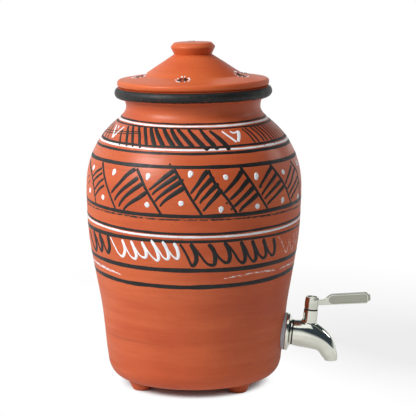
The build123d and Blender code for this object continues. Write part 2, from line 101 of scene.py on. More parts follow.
# Lid and knob
LID_GAP = 0.3
LID_SEAT = JAR_HEIGHT + LID_GAP
LID_RADIUS = 69.1
LID_EDGE_HEIGHT = 6.0
LID_EDGE_ROUND = 2.7
LID_BREAK_RADIUS = 45.5
LID_BREAK_HEIGHT = 10.0
LID_BREAK_ROUND = 6.0
LID_CONE_HEIGHT = 28.7
LID_WALL = 7.0
LID_PLAY = 1.2
LID_FLANGE_DEPTH = 8.0
LID_FLANGE_THICKNESS = 6.0
LID_FLANGE_ROUND = 1.5
LID_HOLLOW_ROUND = 4.0
KNOB_SEAT = LID_SEAT + LID_CONE_HEIGHT
KNOB_ROOT_RADIUS = 17.1
KNOB_RADIUS = 20.5
KNOB_TOP_RADIUS = 17.0
KNOB_BEVEL_HEIGHT = 7.0
KNOB_EDGE_HEIGHT = 10.6
KNOB_HEIGHT = 11.6
KNOB_EDGE_ROUND = 1.6

# Hole for the tap
TAP_ORIGIN = Vector((82.742, 0, 47.7))
TAP_DIRECTION = Vector((0.994103, 0, -0.108436))
TAP_HOLE_RADIUS = 8.5
SPOT_FACE_RADIUS = 15.8
SPOT_FACE_DEPTH = 0.3
CUT_REACH = 25.0
TAP_HOLE_SEGMENTS = 96
TAP_CALM_RADIUS = 19.0
TAP_CALM_WIDTH = 14.0
# Reach of the painted shade round the gasket, and the side of the jar it keeps to
GASKET_SHADE_RING = (16.5, 20.5)
GASKET_SHADE_SIDE = (0.0, 20.0)

# Thrown clay: depth of the ridges and of the slow swell, and how fast they change
RIDGE_DEPTH = 0.07
RIDGE_RATE = 0.2
SWELL_DEPTH = 0.45
SWELL_RATE = 0.035
TURN_RATE = 0.9
RIDGE_SEED = 3.1
SWELL_SEED = 7.7
LID_MARK_DEPTH = 0.12
LID_MARK_RATE = 0.22
LID_TURN_RATE = 0.8

# Meshes
JAR_SEGMENTS = 384
LID_SEGMENTS = 288
KNOB_SEGMENTS = 144
OUTER_STEP = 1.0
INNER_STEP = 3.0
ROLL_STEP = 0.6
LAND_STEP = 1.5
FLAT_STEP = 6.0
SHARP_ANGLE = radians(40)


# Camera's directions and place, in the jar's frame
side = Vector((cos(TAP_YAW), sin(TAP_YAW), 0))
away = Vector((-sin(TAP_YAW), cos(TAP_YAW), 0))
ahead = away * cos(CAMERA_ELEVATION) - Vector((0, 0, sin(CAMERA_ELEVATION)))
upwards = side.cross(ahead)
turned_side = side * cos(CAMERA_ROLL) + upwards * sin(CAMERA_ROLL)
turned_up = upwards * cos(CAMERA_ROLL) - side * sin(CAMERA_ROLL)
target = side * CAMERA_SIDE_PIXELS * MM_PER_PIXEL
target += Vector((0, 0, CAMERA_HEIGHT_PIXELS * MM_PER_PIXEL))
eye = target - ahead * CAMERA_PIXELS * MM_PER_PIXEL
rim_slope = (side * RIM_LEAN_SIDE - away * RIM_LEAN_FRONT) / (NECK_RADIUS + RIM_REACH)


def add_object(name, data):
    made = bpy.data.objects.new(name, data)
    bpy.context.scene.collection.objects.link(made)
    return made


def new_mesh(name, points, faces):
    # Mesh in metres from points in millimetres
    mesh = bpy.data.meshes.new(name)
    mesh.from_pydata([tuple(c * MM for c in p) for p in points], [], faces)
    return mesh


def make_mesh(name, points, faces, material, body):
    mesh = new_mesh(name, points, faces)
    mesh.validate()
    mesh.shade_smooth()
    mesh.set_sharp_from_angle(angle=SHARP_ANGLE)
    piece = add_object(name, mesh)
    mesh.materials.append(material)
    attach(piece, body)
    return piece


def clamped_curve(points, start, end, step):
    # Smooth line through the points that leaves and arrives in the given directions
    p = np.array(points, float)
    chord = np.hypot(*np.diff(p, axis=0).T)
    count = len(p)
    system = np.zeros((count, count))
    target = np.zeros((count, 2))
    system[0, 0] = system[-1, -1] = 1
    target[0] = np.array(start) / hypot(*start)
    target[-1] = np.array(end) / hypot(*end)
    for i in range(1, count - 1):
        before, after = chord[i - 1], chord[i]
        system[i, i - 1] = after
        system[i, i] = 2 * (before + after)
        system[i, i + 1] = before
        target[i] = 3 * (
            before * (p[i + 1] - p[i]) / after + after * (p[i] - p[i - 1]) / before
        )
    slope = np.linalg.solve(system, target)
    line = [p[0]]
    for i in range(count - 1):
        steps = max(2, int(round(chord[i] / step)))
        for k in range(1, steps + 1):
            t = k / steps
            line.append(
                (1 + 2 * t) * (1 - t) ** 2 * p[i]
                + t * (1 - t) ** 2 * chord[i] * slope[i]
                + t * t * (3 - 2 * t) * p[i + 1]
                + t * t * (t - 1) * chord[i] * slope[i + 1]
            )
    return np.array(line)


def arc(centre, radius, start, end, step):
    count = max(3, int(abs(end - start) * radius / step))
    return np.array([
        (centre[0] + radius * cos(a), centre[1] + radius * sin(a))
        for a in np.linspace(start, end, count + 1)
    ])


def straight(start, end, step):
    count = max(1, int(dist(start, end) / step))
    return np.linspace(start, end, count + 1)


def rounded_line(corners, step):
    # Straight runs between (radius, height, round) corners, with each corner rounded
    line = [np.array(corners[0][:2], float)]
    for i in range(1, len(corners)):
        here = np.array(corners[i][:2], float)
        run = [here]
        if corners[i][2] > 0:
            back = np.array(corners[i - 1][:2], float) - here
            ahead = np.array(corners[i + 1][:2], float) - here
            back /= np.linalg.norm(back)
            ahead /= np.linalg.norm(ahead)
            half = acos(np.clip(back @ ahead, -1, 1)) / 2
            reach = corners[i][2] / tan(half)
            middle = (back + ahead) / np.linalg.norm(back + ahead)
            centre = here + middle * corners[i][2] / sin(half)
            first = atan2(*(here + back * reach - centre)[::-1])
            last = atan2(*(here + ahead * reach - centre)[::-1])
            turn = (last - first + pi) % (2 * pi) - pi
            run = arc(centre, corners[i][2], first, first + turn, step / 2)
        line.extend(straight(line[-1], run[0], step)[1:])
        line.extend(run[1:])
    return np.array(line)


# Lines of the jar: outside from the base to the neck, rim, and inside
heel_point = (BASE_RADIUS + HEEL_REACH, FOOT_HEIGHT + HEEL_RISE)
heel_top = (sin(HEEL_LEAN), cos(HEEL_LEAN))


def shared(start, reach, shares):
    # Points at shares of a reach from where it starts
    return [(start[0] + reach[0] * out, start[1] + reach[1] * up) for out, up in shares]


heel_line = clamped_curve(
    [(BASE_RADIUS, FOOT_HEIGHT)]
    + shared((BASE_RADIUS, FOOT_HEIGHT), (HEEL_REACH, HEEL_RISE), HEEL_SHARES)
    + [heel_point],
    (1, 0), heel_top, OUTER_STEP,
)
lower_reach = (BODY_RADIUS - heel_point[0], BELLY_HEIGHT - heel_point[1])
upper_reach = (BODY_RADIUS - NECK_RADIUS, NECK_HEIGHT - BELLY_HEIGHT)
wall_line = clamped_curve(
    [heel_point] + shared(heel_point, lower_reach, LOWER_WALL_SHARES)
    + [(BODY_RADIUS, BELLY_HEIGHT)]
    + shared((NECK_RADIUS, BELLY_HEIGHT), upper_reach, UPPER_WALL_SHARES)
    + [(NECK_RADIUS, NECK_HEIGHT)],
    heel_top, (0, 1), OUTER_STEP,
)
outer_line = np.vstack([heel_line, wall_line[1:]])


def wall_radius(height):
    # Outer radius of the wall at a height
    return np.interp(height, outer_line[:, 1], outer_line[:, 0])


def rim_lean(point):
    # How much higher the leaning rim stands there than on a true jar
    share = min(1.0, max(0.0, (point[2] - NECK_HEIGHT) / (RIM_LEAN_TOP - NECK_HEIGHT)))
    return (point[0] * rim_slope.x + point[1] * rim_slope.y) * share


def clay_swell(point):
    # How far the thrown wall stands out or in at a point of its surface
    turn = atan2(point[1], point[0])
    around = (cos(turn) * TURN_RATE, sin(turn) * TURN_RATE)
    ridge = noise.noise((around[0] + RIDGE_SEED, around[1], point[2] * RIDGE_RATE))
    swell = noise.noise((around[0], around[1] + SWELL_SEED, point[2] * SWELL_RATE))
    apart = (Vector(point) - TAP_ORIGIN).cross(TAP_DIRECTION).length
    calm = 1.0
    if point[0] > 0:
        calm = min(1.0, max(0.0, (apart - TAP_CALM_RADIUS) / TAP_CALM_WIDTH))
    return (RIDGE_DEPTH * ridge + SWELL_DEPTH * swell) * calm


def circle(count):
    # Turns spread evenly round the axis
    return [2 * pi * k / count for k in range(count)]


def at(radius, turn, height):
    return (radius * cos(turn), radius * sin(turn), height)


def ring_faces(rows, count, first=0):
    # Faces between rings of points that follow one another
    faces = []
    for low in range(first, first + (rows - 1) * count, count):
        for k in range(count):
            n = (k + 1) % count
            faces.append((low + k, low + n, low + count + n, low + count + k))
    return faces


def closed_faces(rows, count):
    # The same, with the last ring joined to the first, and facing the other way
    faces = []
    for row in range(rows):
        a, b = row * count, (row + 1) % rows * count
        for i in range(count):
            n = (i + 1) % count
            faces.append((a + i, b + i, b + n, a + n))
    return faces


def revolve(line, segments, swell=None):
    # Points and faces of a line turned round the axis; its two ends lie on the axis
    points = [(0, 0, line[0][1])]
    for radius, height in line[1:-1]:
        for turn in circle(segments):
            out, up = swell(radius, height, turn) if swell else (0, 0)
            points.append(at(radius + out, turn, height + up))
    points.append((0, 0, line[-1][1]))
    faces = [(0, 1 + (k + 1) % segments, 1 + k) for k in range(segments)]
    faces += ring_faces(len(line) - 2, segments, first=1)
    last = 1 + (len(line) - 3) * segments
    faces.extend((last + k, last + (k + 1) % segments, len(points) - 1) for k in range(segments))
    return points, faces


def srgb(red, green, blue):
    # Linear colour from the usual 0 to 255 values
    return tuple(
        (c / 255 / 12.92) if c / 255 <= 0.04045 else ((c / 255 + 0.055) / 1.055) ** 2.4
        for c in (red, green, blue)
    ) + (1.0,)


class Net:
    # Nodes of a material or of the world
    def __init__(self, block):
        block.use_nodes = True
        self.block = block
        self.tree = block.node_tree

    def set(self, node, inputs):
        # Each input gets its own value, or a link from another node's output
        for key, value in inputs.items():
            if isinstance(value, bpy.types.NodeSocket):
                self.tree.links.new(value, node.inputs[key])
            else:
                node.inputs[key].default_value = value

    def finish(self, inputs, node="Principled BSDF"):
        self.set(self.tree.nodes[node], inputs)

    def add(self, kind, inputs, **settings):
        made = self.tree.nodes.new("ShaderNode" + kind)
        for name, value in settings.items():
            setattr(made, name, value)
        self.set(made, inputs)
        return made

    def place(self):
        # Place on the piece, in metres
        return self.add("TexCoord", {}).outputs["Object"]

    def axis(self, vector, axis):
        return self.add("SeparateXYZ", {0: vector}).outputs[axis]

    def noise(self, scale, stretch=(1, 1, 1), detail=3.0, roughness=0.5):
        # Noise over the piece, stretched along its axes
        mapping = self.add("Mapping", {"Vector": self.place(), "Scale": stretch})
        return self.add("TexNoise", {
            "Vector": mapping.outputs["Vector"],
            "Scale": scale, "Detail": detail, "Roughness": roughness,
        }).outputs[0]

    def ramp(self, source, low, high, start=0.0, end=1.0):
        # Source taken from the range low to high onto start to end
        return self.add("MapRange", {
            "Value": source, "From Min": low, "From Max": high, "To Min": start, "To Max": end,
        }).outputs["Result"]

    def mix(self, share, first, second):
        return self.add("Mix", {0: share, 6: first, 7: second}, data_type="RGBA").outputs[2]

    def layer(self, under, over, pattern, low, high, share=1.0):
        # One colour laid over another where the pattern is high
        return self.mix(self.ramp(pattern, low, high, 0.0, share), under, over)

    def math(self, kind, first, second=0.0):
        return self.add("Math", {0: first, 1: second}, operation=kind).outputs[0]

    def times(self, first, second):
        return self.math("MULTIPLY", first, second)

    def less(self, first, second):
        return self.math("SUBTRACT", first, second)

    def vector(self, kind, first, second=(0, 0, 0)):
        made = self.add("VectorMath", {0: first, 1: second}, operation=kind)
        return made.outputs["Value" if kind in ("LENGTH", "DOT_PRODUCT") else "Vector"]

    def bump(self, height, distance, strength):
        made = self.add("Bump", {"Height": height, "Distance": distance, "Strength": strength})
        self.finish({"Normal": made.outputs["Normal"]})

    def ray(self, kind):
        return self.add("LightPath", {}).outputs[kind]

    def seen_directly(self):
        # One for rays from the camera or from a reflection, zero for light on the object
        seen = self.math("MAXIMUM", self.ray("Is Camera Ray"), self.ray("Is Glossy Ray"))
        return self.math("MAXIMUM", seen, self.ray("Is Transmission Ray"))


# Clay: heights in metres where the burnish comes in on the shoulder and eases off
# on the neck, and how dark the painted shade round the tap's gasket gets
SHOULDER_RISE = (0.185, 0.215)
NECK_RISE = (0.242, 0.252)
BURNISH = 0.17
NECK_BURNISH_SHARE = 0.4
DARK_SHARE = 0.55
GASKET_SHADE_STRENGTH = 0.75


def clay_colour(net, light, body, deep):
    # Thrown clay: slow patches, streaks along the throwing, lines and fine dark specks
    dark = tuple(c * DARK_SHARE for c in deep[:3]) + (1.0,)
    patches = net.noise(11.0, (1, 1, 1.6), 4.0)
    streaks = net.noise(1.0, (6, 6, 48), 5.0, 0.65)
    fine = net.noise(1.0, (24, 24, 380))
    lines = net.noise(1.0, (8, 8, 300), 2.0)
    specks = net.noise(700.0, detail=1.0)
    colour = net.layer(deep, body, patches, 0.36, 0.64)
    colour = net.layer(colour, light, streaks, 0.42, 0.68, 0.5)
    colour = net.layer(colour, deep, fine, 0.35, 0.7, 0.3)
    colour = net.layer(colour, dark, lines, 0.66, 0.74, 0.35)
    colour = net.layer(colour, dark, specks, 0.68, 0.76, 0.5)
    # Painted shade: a dark ring on the clay round the tap's gasket, on the tap's side only
    place = net.place()
    from_tap = net.vector("SUBTRACT", place, tuple(TAP_ORIGIN * MM))
    apart = net.vector("CROSS_PRODUCT", from_tap, tuple(TAP_DIRECTION))
    inner, outer = (reach * MM for reach in GASKET_SHADE_RING)
    gasket_shade = net.ramp(net.vector("LENGTH", apart), inner, outer, GASKET_SHADE_STRENGTH, 0.0)
    tap_side = net.ramp(net.axis(place, "X"), *(reach * MM for reach in GASKET_SHADE_SIDE))
    return net.mix(net.times(gasket_shade, tap_side), colour, dark)


def clay_material(name, light, body, deep):
    # Burnished most on the shoulder, so that the sheen is clearest there
    net = Net(bpy.data.materials.new(name))
    height = net.axis(net.place(), "Z")
    shoulder = net.ramp(height, *SHOULDER_RISE, 0.0, BURNISH)
    neck = net.ramp(height, *NECK_RISE, 1.0, NECK_BURNISH_SHARE)
    burnish = net.times(shoulder, neck)
    sheen = net.ramp(net.noise(1.0, (14, 14, 120), 4.0), 0.3, 0.7, 0.46, 0.6)
    net.finish({
        "Base Color": clay_colour(net, light, body, deep),
        "Roughness": net.less(sheen, burnish),
        "IOR": 1.4,
    })
    lines = net.noise(1.0, (5, 5, 520), 2.0)
    grain = net.times(net.noise(900.0, detail=2.0), 0.5)
    net.bump(net.math("ADD", lines, grain), 0.0005, 0.3)
    return net.block


def paint_material(name, colour, thin, smooth, rough):
    # Brushed paint that lets the clay through where the brush ran dry
    net = Net(bpy.data.materials.new(name))
    dry = net.add("Attribute", {}, attribute_name="dry").outputs["Fac"]
    worn = net.noise(1.0, (300, 300, 900), 3.0, 0.7)
    gaps = net.less(net.times(dry, 0.8), worn)
    coat = net.layer(colour, thin, net.noise(160.0), 0.35, 0.7)
    net.finish({
        "Base Color": net.layer(coat, srgb(206, 98, 54), gaps, -0.28, -0.12),
        "Roughness": net.ramp(net.noise(220.0, detail=2.0), 0.3, 0.7, smooth, rough),
        "Specular IOR Level": 0.35,
    })
    net.bump(net.noise(800.0), 0.0003, 0.35)
    return net.block


def soft_material(name, scale, first, second, roughness, grain):
    # Rubber or plastic in two close shades, with a fine grain
    net = Net(bpy.data.materials.new(name))
    net.finish({
        "Base Color": net.mix(net.noise(scale), first, second),
        "Roughness": roughness,
    })
    net.bump(net.noise(900.0), 0.0002, grain)
    return net.block


clay = clay_material("clay", srgb(221, 117, 69), srgb(204, 95, 51), srgb(186, 79, 42))
lid_clay = clay_material("lid_clay", srgb(226, 128, 76), srgb(212, 98, 48), srgb(193, 81, 39))
black_paint = paint_material("black_paint", srgb(12, 14, 14), srgb(27, 29, 28), 0.45, 0.62)
white_paint = paint_material("white_paint", srgb(244, 247, 250), srgb(226, 232, 236), 0.38, 0.55)
grey_rubber = soft_material(
    "grey_silicone", 60.0, srgb(192, 199, 208), srgb(210, 216, 223), 0.55, 0.2
)
dark_rubber = soft_material("dark_seal", 120.0, srgb(30, 28, 28), srgb(50, 44, 40), 0.6, 0.2)
seat_plastic = soft_material(
    "seat_white", 120.0, srgb(228, 228, 222), srgb(240, 240, 236), 0.5, 0.1
)


def worn_steel(net, worn, clean):
    return net.layer(worn + (1.0,), clean + (1.0,), net.noise(90.0), 0.3, 0.7)


# Tap: polished castings with fine wear
net = Net(bpy.data.materials.new("polished_steel"))
steel = net.block
net.finish({
    "Base Color": worn_steel(net, (0.7, 0.71, 0.62), (0.77, 0.785, 0.695)),
    "Metallic": 1.0,
    "Roughness": net.ramp(net.noise(260.0, detail=4.0), 0.3, 0.75, 0.07, 0.14),
})
net.bump(net.noise(130.0, detail=1.0), 0.0004, 0.08)

# Lever: satin floors in the blade's panels, and painted shade in the corners round them
PANEL_FLOOR = 2.38
PANEL_EDGE = (2.7, 2.8)
PANEL_START = 122.0
net = Net(bpy.data.materials.new("lever_steel"))
lever_steel = net.block
place = net.place()
apart = net.math("ABSOLUTE", net.axis(place, "Y"))
on_blade = net.math("GREATER_THAN", net.axis(place, "X"), PANEL_START * MM)
panel = net.math("LESS_THAN", apart, PANEL_FLOOR * MM)
corner = net.ramp(apart, *(reach * MM for reach in PANEL_EDGE), 1.0, 0.0)
satin = net.times(panel, on_blade)
# Painted shade: near black in the corners round each panel on the blade
corner_shade = net.less(net.times(corner, on_blade), satin)
bright = worn_steel(net, (0.6, 0.605, 0.53), (0.68, 0.69, 0.61))
colour = net.mix(satin, bright, (0.385, 0.39, 0.33, 1.0))
net.finish({
    "Base Color": net.mix(corner_shade, colour, (0.1, 0.1, 0.09, 1.0)),
    "Metallic": 1.0,
    "Roughness": net.ramp(satin, 0.0, 1.0, 0.1, 0.38),
})
net.bump(net.noise(1500.0, detail=2.0), 0.0002, 0.12)

# Jar
rim_centre = (
    NECK_RADIUS + RIM_REACH - RIM_ROLL_RADIUS, JAR_HEIGHT + RIM_LAND_DROP - RIM_ROLL_RADIUS,
)
rim_land_angle = asin((JAR_HEIGHT - rim_centre[1]) / RIM_ROLL_RADIUS)
roll_line = arc(rim_centre, RIM_ROLL_RADIUS, RIM_ROLL_START, rim_land_angle, ROLL_STEP)
neck_to_roll = roll_line[0] - np.array((NECK_RADIUS, NECK_HEIGHT))
neck_arc_radius = (neck_to_roll @ neck_to_roll) / (2 * neck_to_roll[0])
neck_arc_centre = (NECK_RADIUS + neck_arc_radius, NECK_HEIGHT)
neck_arc_end = pi - asin(neck_to_roll[1] / neck_arc_radius)
neck_line = arc(neck_arc_centre, neck_arc_radius, pi, neck_arc_end, OUTER_STEP)
bore = NECK_RADIUS - WALL
lip_centre = (bore + RIM_EDGE_ROUND, JAR_HEIGHT - RIM_EDGE_ROUND)
lip_line = arc(lip_centre, RIM_EDGE_ROUND, pi / 2, pi, ROLL_STEP)
wall_run = np.gradient(wall_line, axis=0)
wall_run /= np.hypot(*wall_run.T)[:, None]
inner_line = wall_line + WALL * np.stack([-wall_run[:, 1], wall_run[:, 0]], axis=1)
inner_line = inner_line[::-1][::2]
inner_start = inner_line[-1]
inner_floor_radius = inner_start[0] - HEEL_REACH
inner_floor = FOOT_HEIGHT + FLOOR_THICKNESS
inner_base = (inner_floor_radius, inner_floor)
inner_heel = clamped_curve(
    [tuple(inner_start)]
    + shared(inner_base, (HEEL_REACH, inner_start[1] - inner_floor), HEEL_SHARES[::-1])
    + [inner_base],
    (-heel_top[0], -heel_top[1]), (-1, 0), INNER_STEP,
)
jar_line = np.vstack([
    straight((0, FOOT_HEIGHT), (BASE_RADIUS, FOOT_HEIGHT), FLAT_STEP),
    outer_line[1:],
    neck_line[1:],
    roll_line[1:],
    straight(roll_line[-1], lip_line[0], LAND_STEP)[1:],
    lip_line[1:],
    straight(lip_line[-1], (bore, NECK_HEIGHT), INNER_STEP)[1:],
    inner_line[1:],
    inner_heel[1:],
    straight(inner_base, (0, inner_floor), FLAT_STEP)[1:],
])


def jar_swell(radius, height, turn):
    point = at(radius, turn, height)
    return clay_swell(point), rim_lean(point)


points, faces = revolve(jar_line, JAR_SEGMENTS, jar_swell)
jar = make_mesh("jar_clay", points, faces, clay, "jar")
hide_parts("jar_body")

# Hole for the tap's shank, with the flat face round it inside
inner_face = SPOT_FACE_DEPTH - WALL
points, faces = revolve([
    (0, -CUT_REACH), (SPOT_FACE_RADIUS, -CUT_REACH), (SPOT_FACE_RADIUS, inner_face),
    (TAP_HOLE_RADIUS, inner_face), (TAP_HOLE_RADIUS, CUT_REACH), (0, CUT_REACH),
], TAP_HOLE_SEGMENTS)
turned = TAP_DIRECTION.to_track_quat("Z", "Y")
points = [TAP_ORIGIN + turned @ Vector(point) for point in points]
cutter = add_object("cut", new_mesh("cut", points, faces))
hole = jar.modifiers.new("hole", "BOOLEAN")
hole.operation = "DIFFERENCE"
hole.solver = "MANIFOLD"
hole.object = cutter
evaluated = jar.evaluated_get(bpy.context.evaluated_depsgraph_get())
cut_jar = bpy.data.meshes.new_from_object(evaluated)
jar.modifiers.clear()
jar.data = cut_jar
cut_jar.set_sharp_from_angle(angle=SHARP_ANGLE)
bpy.data.objects.remove(cutter)


def lid_swell(radius, height, turn):
    # Slight throwing marks on top, and the lean of the rim that the lid sits on
    mark = noise.noise(at(LID_TURN_RATE, turn, (radius + height) * LID_MARK_RATE))
    if height < LID_SEAT + 1 or radius < 1:
        mark = 0.0
    lean = rim_lean(at(radius, turn, RIM_LEAN_TOP))
    return LID_MARK_DEPTH * mark, lean + LID_MARK_DEPTH * mark


# Lid and knob
lid_flange_radius = bore - LID_PLAY
lid_hollow_radius = lid_flange_radius - LID_FLANGE_THICKNESS
lid_line = rounded_line([
    (0, LID_SEAT + LID_CONE_HEIGHT - LID_WALL, 0),
    (KNOB_ROOT_RADIUS, LID_SEAT + LID_CONE_HEIGHT - LID_WALL, LID_HOLLOW_ROUND),
    (lid_hollow_radius, LID_SEAT + LID_BREAK_HEIGHT - LID_WALL, 0),
    (lid_hollow_radius, LID_SEAT - LID_FLANGE_DEPTH, LID_FLANGE_ROUND),
    (lid_flange_radius, LID_SEAT - LID_FLANGE_DEPTH, LID_FLANGE_ROUND),
    (lid_flange_radius, LID_SEAT, 0),
    (LID_RADIUS, LID_SEAT, LID_EDGE_ROUND),
    (LID_RADIUS, LID_SEAT + LID_EDGE_HEIGHT, LID_EDGE_ROUND),
    (LID_BREAK_RADIUS, LID_SEAT + LID_BREAK_HEIGHT, LID_BREAK_ROUND),
    (KNOB_ROOT_RADIUS, LID_SEAT + LID_CONE_HEIGHT, 0),
    (0, LID_SEAT + LID_CONE_HEIGHT, 0),
], OUTER_STEP)
points, faces = revolve(lid_line, LID_SEGMENTS, lid_swell)
lid = make_mesh("lid_clay", points, faces, lid_clay, "lid")
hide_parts("lid")
knob_line = rounded_line([
    (0, KNOB_SEAT, 0),
    (KNOB_ROOT_RADIUS, KNOB_SEAT, 0),
    (KNOB_RADIUS, KNOB_SEAT + KNOB_BEVEL_HEIGHT, KNOB_EDGE_ROUND),
    (KNOB_TOP_RADIUS, KNOB_SEAT + KNOB_EDGE_HEIGHT, KNOB_EDGE_ROUND),
    (0, KNOB_SEAT + KNOB_HEIGHT, 0),
], OUTER_STEP)
points, faces = revolve(knob_line, KNOB_SEGMENTS, lid_swell)
knob = make_mesh("lid_knob_clay", points, faces, lid_clay, "lid")
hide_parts("lid_knob")

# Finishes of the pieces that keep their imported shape
for name, material in (
    ("outer_gasket", grey_rubber), ("inner_gasket", grey_rubber),
    ("body_seal", dark_rubber), ("stem_washer", dark_rubber),
    ("stem_o_ring_low", dark_rubber), ("stem_o_ring_high", dark_rubber),
    ("rear_seat", seat_plastic), ("front_seat", seat_plastic),
    ("tap_tailpiece", steel), ("tap_body", steel), ("lever", lever_steel),
    ("lever_screw", steel), ("valve_ball", steel), ("valve_stem", steel),
    ("inner_washer", steel), ("lock_nut", steel),
    ("foot_front_left", clay), ("foot_front_right", clay),
    ("foot_rear_left", clay), ("foot_rear_right", clay),
):
    nodes[name].data.materials[0] = material

# Painting: every mark is a thin lens of paint that follows the clay. Marks on the
# side that the photograph shows are placed by its pixels.
PAINT_SINK = 0.1
MARK_STEP = 0.8
EDGE_SHAKE = 0.12
BAND_SEGMENTS = 540
RIM_PAINT_LIFT = 0.14
RAY_MARGIN = 140.0
RAY_STEP = 0.5
LAYER_LIFT = 0.004
LAYERS = 7
TAIL_WAY = (-0.3, -0.95)
DOT_TAIL = 1.3
LENS = [(-1, -0.02), (-0.6, 0.75), (0, 1.0), (0.6, 0.75), (1, -0.02)]
# Strokes: length of a tapering end in widths, how a pen widens where it climbs, and
# how fast the edges shake
TAPER = 0.6
PEN_LEVEL = 0.45
PEN_CLIMB = 0.8
PEN_SMOOTHING = 7
STROKE_RATE = 0.55
STROKE_EDGE_RATE = 9.0
STROKE_SEED = 1.7
# Bands: how fast they wander, swell and shake on their way round
BAND_RATE = 2.6
BAND_SWELL = 0.25
BAND_SWELL_RATE = 2.1
BAND_SWELL_SEED = 5.0
BAND_EDGE_RATE = 12
# Drops: reach and height of each ring, and how much of the pit it takes
DROP_RINGS = ((1.0, -0.02, 0), (0.86, 0.6, 0), (0.62, 1.0, 0), (0.34, 1.0, 0.35), (0.14, 1.0, 1))
DROP_UNEVEN = 0.2
DROP_RATE = 1.2
DROP_SEED = 2.3
DROP_DRY = 0.9
TAIL_POWER = 5


def photo_ray(x, y):
    sideways = (x - PHOTO_MIDDLE) / CAMERA_PIXELS
    rise = (PHOTO_MIDDLE - y) / CAMERA_PIXELS
    return (ahead + turned_side * sideways + turned_up * rise).normalized()


def first_inside(x, y, gap_at):
    # Point where the line of sight through a pixel goes in, or comes nearest
    steps = np.arange(-RAY_MARGIN, RAY_MARGIN, RAY_STEP) + CAMERA_PIXELS * MM_PER_PIXEL
    places = np.array(eye)[None, :] + steps[:, None] * np.array(photo_ray(x, y))[None, :]
    gap = gap_at(places)
    inside = np.nonzero(gap < 0)[0]
    if len(inside) and inside[0] > 0:
        i = inside[0]
        share = gap[i - 1] / (gap[i - 1] - gap[i])
        return places[i - 1] + share * (places[i] - places[i - 1])
    return places[int(np.argmin(gap))]


class Wall:
    # Jar's outside: a place is a turn and a height
    def radius(self, height):
        return float(wall_radius(height))

    def place(self, turn, height, lift):
        radius = self.radius(height)
        radius += clay_swell(at(radius, turn, height)) + lift
        return at(radius, turn, height)

    def find(self, x, y):
        point = first_inside(x, y, lambda p: np.hypot(p[:, 0], p[:, 1]) - wall_radius(p[:, 2]))
        return atan2(point[1], point[0]), point[2]


class LidTop:
    # Top of the lid and of its knob: a place is given in plan
    def __init__(self):
        top = [p for p in knob_line[::-1] if p[1] > KNOB_SEAT + KNOB_BEVEL_HEIGHT]
        brim = [p for p in lid_line[int(np.argmax(lid_line[:, 0])):][::-1] if p[0] > KNOB_RADIUS]
        self.reaches, self.heights = np.array(top + brim).T

    def radius(self, along):
        return 1.0

    def height(self, radius):
        return np.interp(radius, self.reaches, self.heights)

    def place(self, x, y, lift):
        level = float(self.height(hypot(x, y)))
        return (x, y, level + rim_lean((x, y, level)) + lift)

    def find(self, x, y):
        point = first_inside(x, y, lambda p: p[:, 2] - self.height(np.hypot(p[:, 0], p[:, 1])))
        return point[0], point[1]


WALL_FACE = Wall()
LID_FACE = LidTop()


class Paint:
    # Collects the marks of one paint and turns them into one piece
    def __init__(self):
        self.points = []
        self.faces = []
        self.dry = []
        self.count = 0

    def add(self, points, faces, dry):
        start = len(self.points)
        self.points.extend(points)
        self.dry.extend([dry] * len(points) if isinstance(dry, float) else dry)
        self.faces.extend(tuple(start + i for i in face) for face in faces)

    def lift(self, height):
        # Each mark lies a hair above the one before
        self.count += 1
        return height + LAYER_LIFT * (self.count % LAYERS)

    def piece(self, name, material, body):
        made = make_mesh(name, self.points, self.faces, material, body)
        layer = made.data.attributes.new("dry", "FLOAT", "POINT")
        layer.data.foreach_set("value", self.dry)
        return made


def smooth_path(places, radius):
    # Turn and height pairs become a smooth line with a point about every step
    path = np.array(places, float)
    path[:, 0] = np.unwrap(path[:, 0])
    flat = path * (radius, 1)
    padded = np.vstack([2 * flat[0] - flat[1], flat, 2 * flat[-1] - flat[-2]])
    line = [flat[0]]
    for i in range(1, len(padded) - 2):
        a, b, c, d = padded[i - 1:i + 3]
        count = max(2, int(dist(b, c) / MARK_STEP))
        for t in np.arange(1, count + 1) / count:
            line.append(0.5 * (
                2 * b + (c - a) * t
                + (2 * a - 5 * b + 4 * c - d) * t * t
                + (3 * b - a - 3 * c + d) * t ** 3
            ))
    return np.array(line) / (radius, 1)


def carried_on(places, share):
    # The same line, begun a little sooner
    (turn, along), (next_turn, next_along) = places[:2]
    first = (turn + (turn - next_turn) * share, along + (along - next_along) * share)
    return [first] + places[1:]


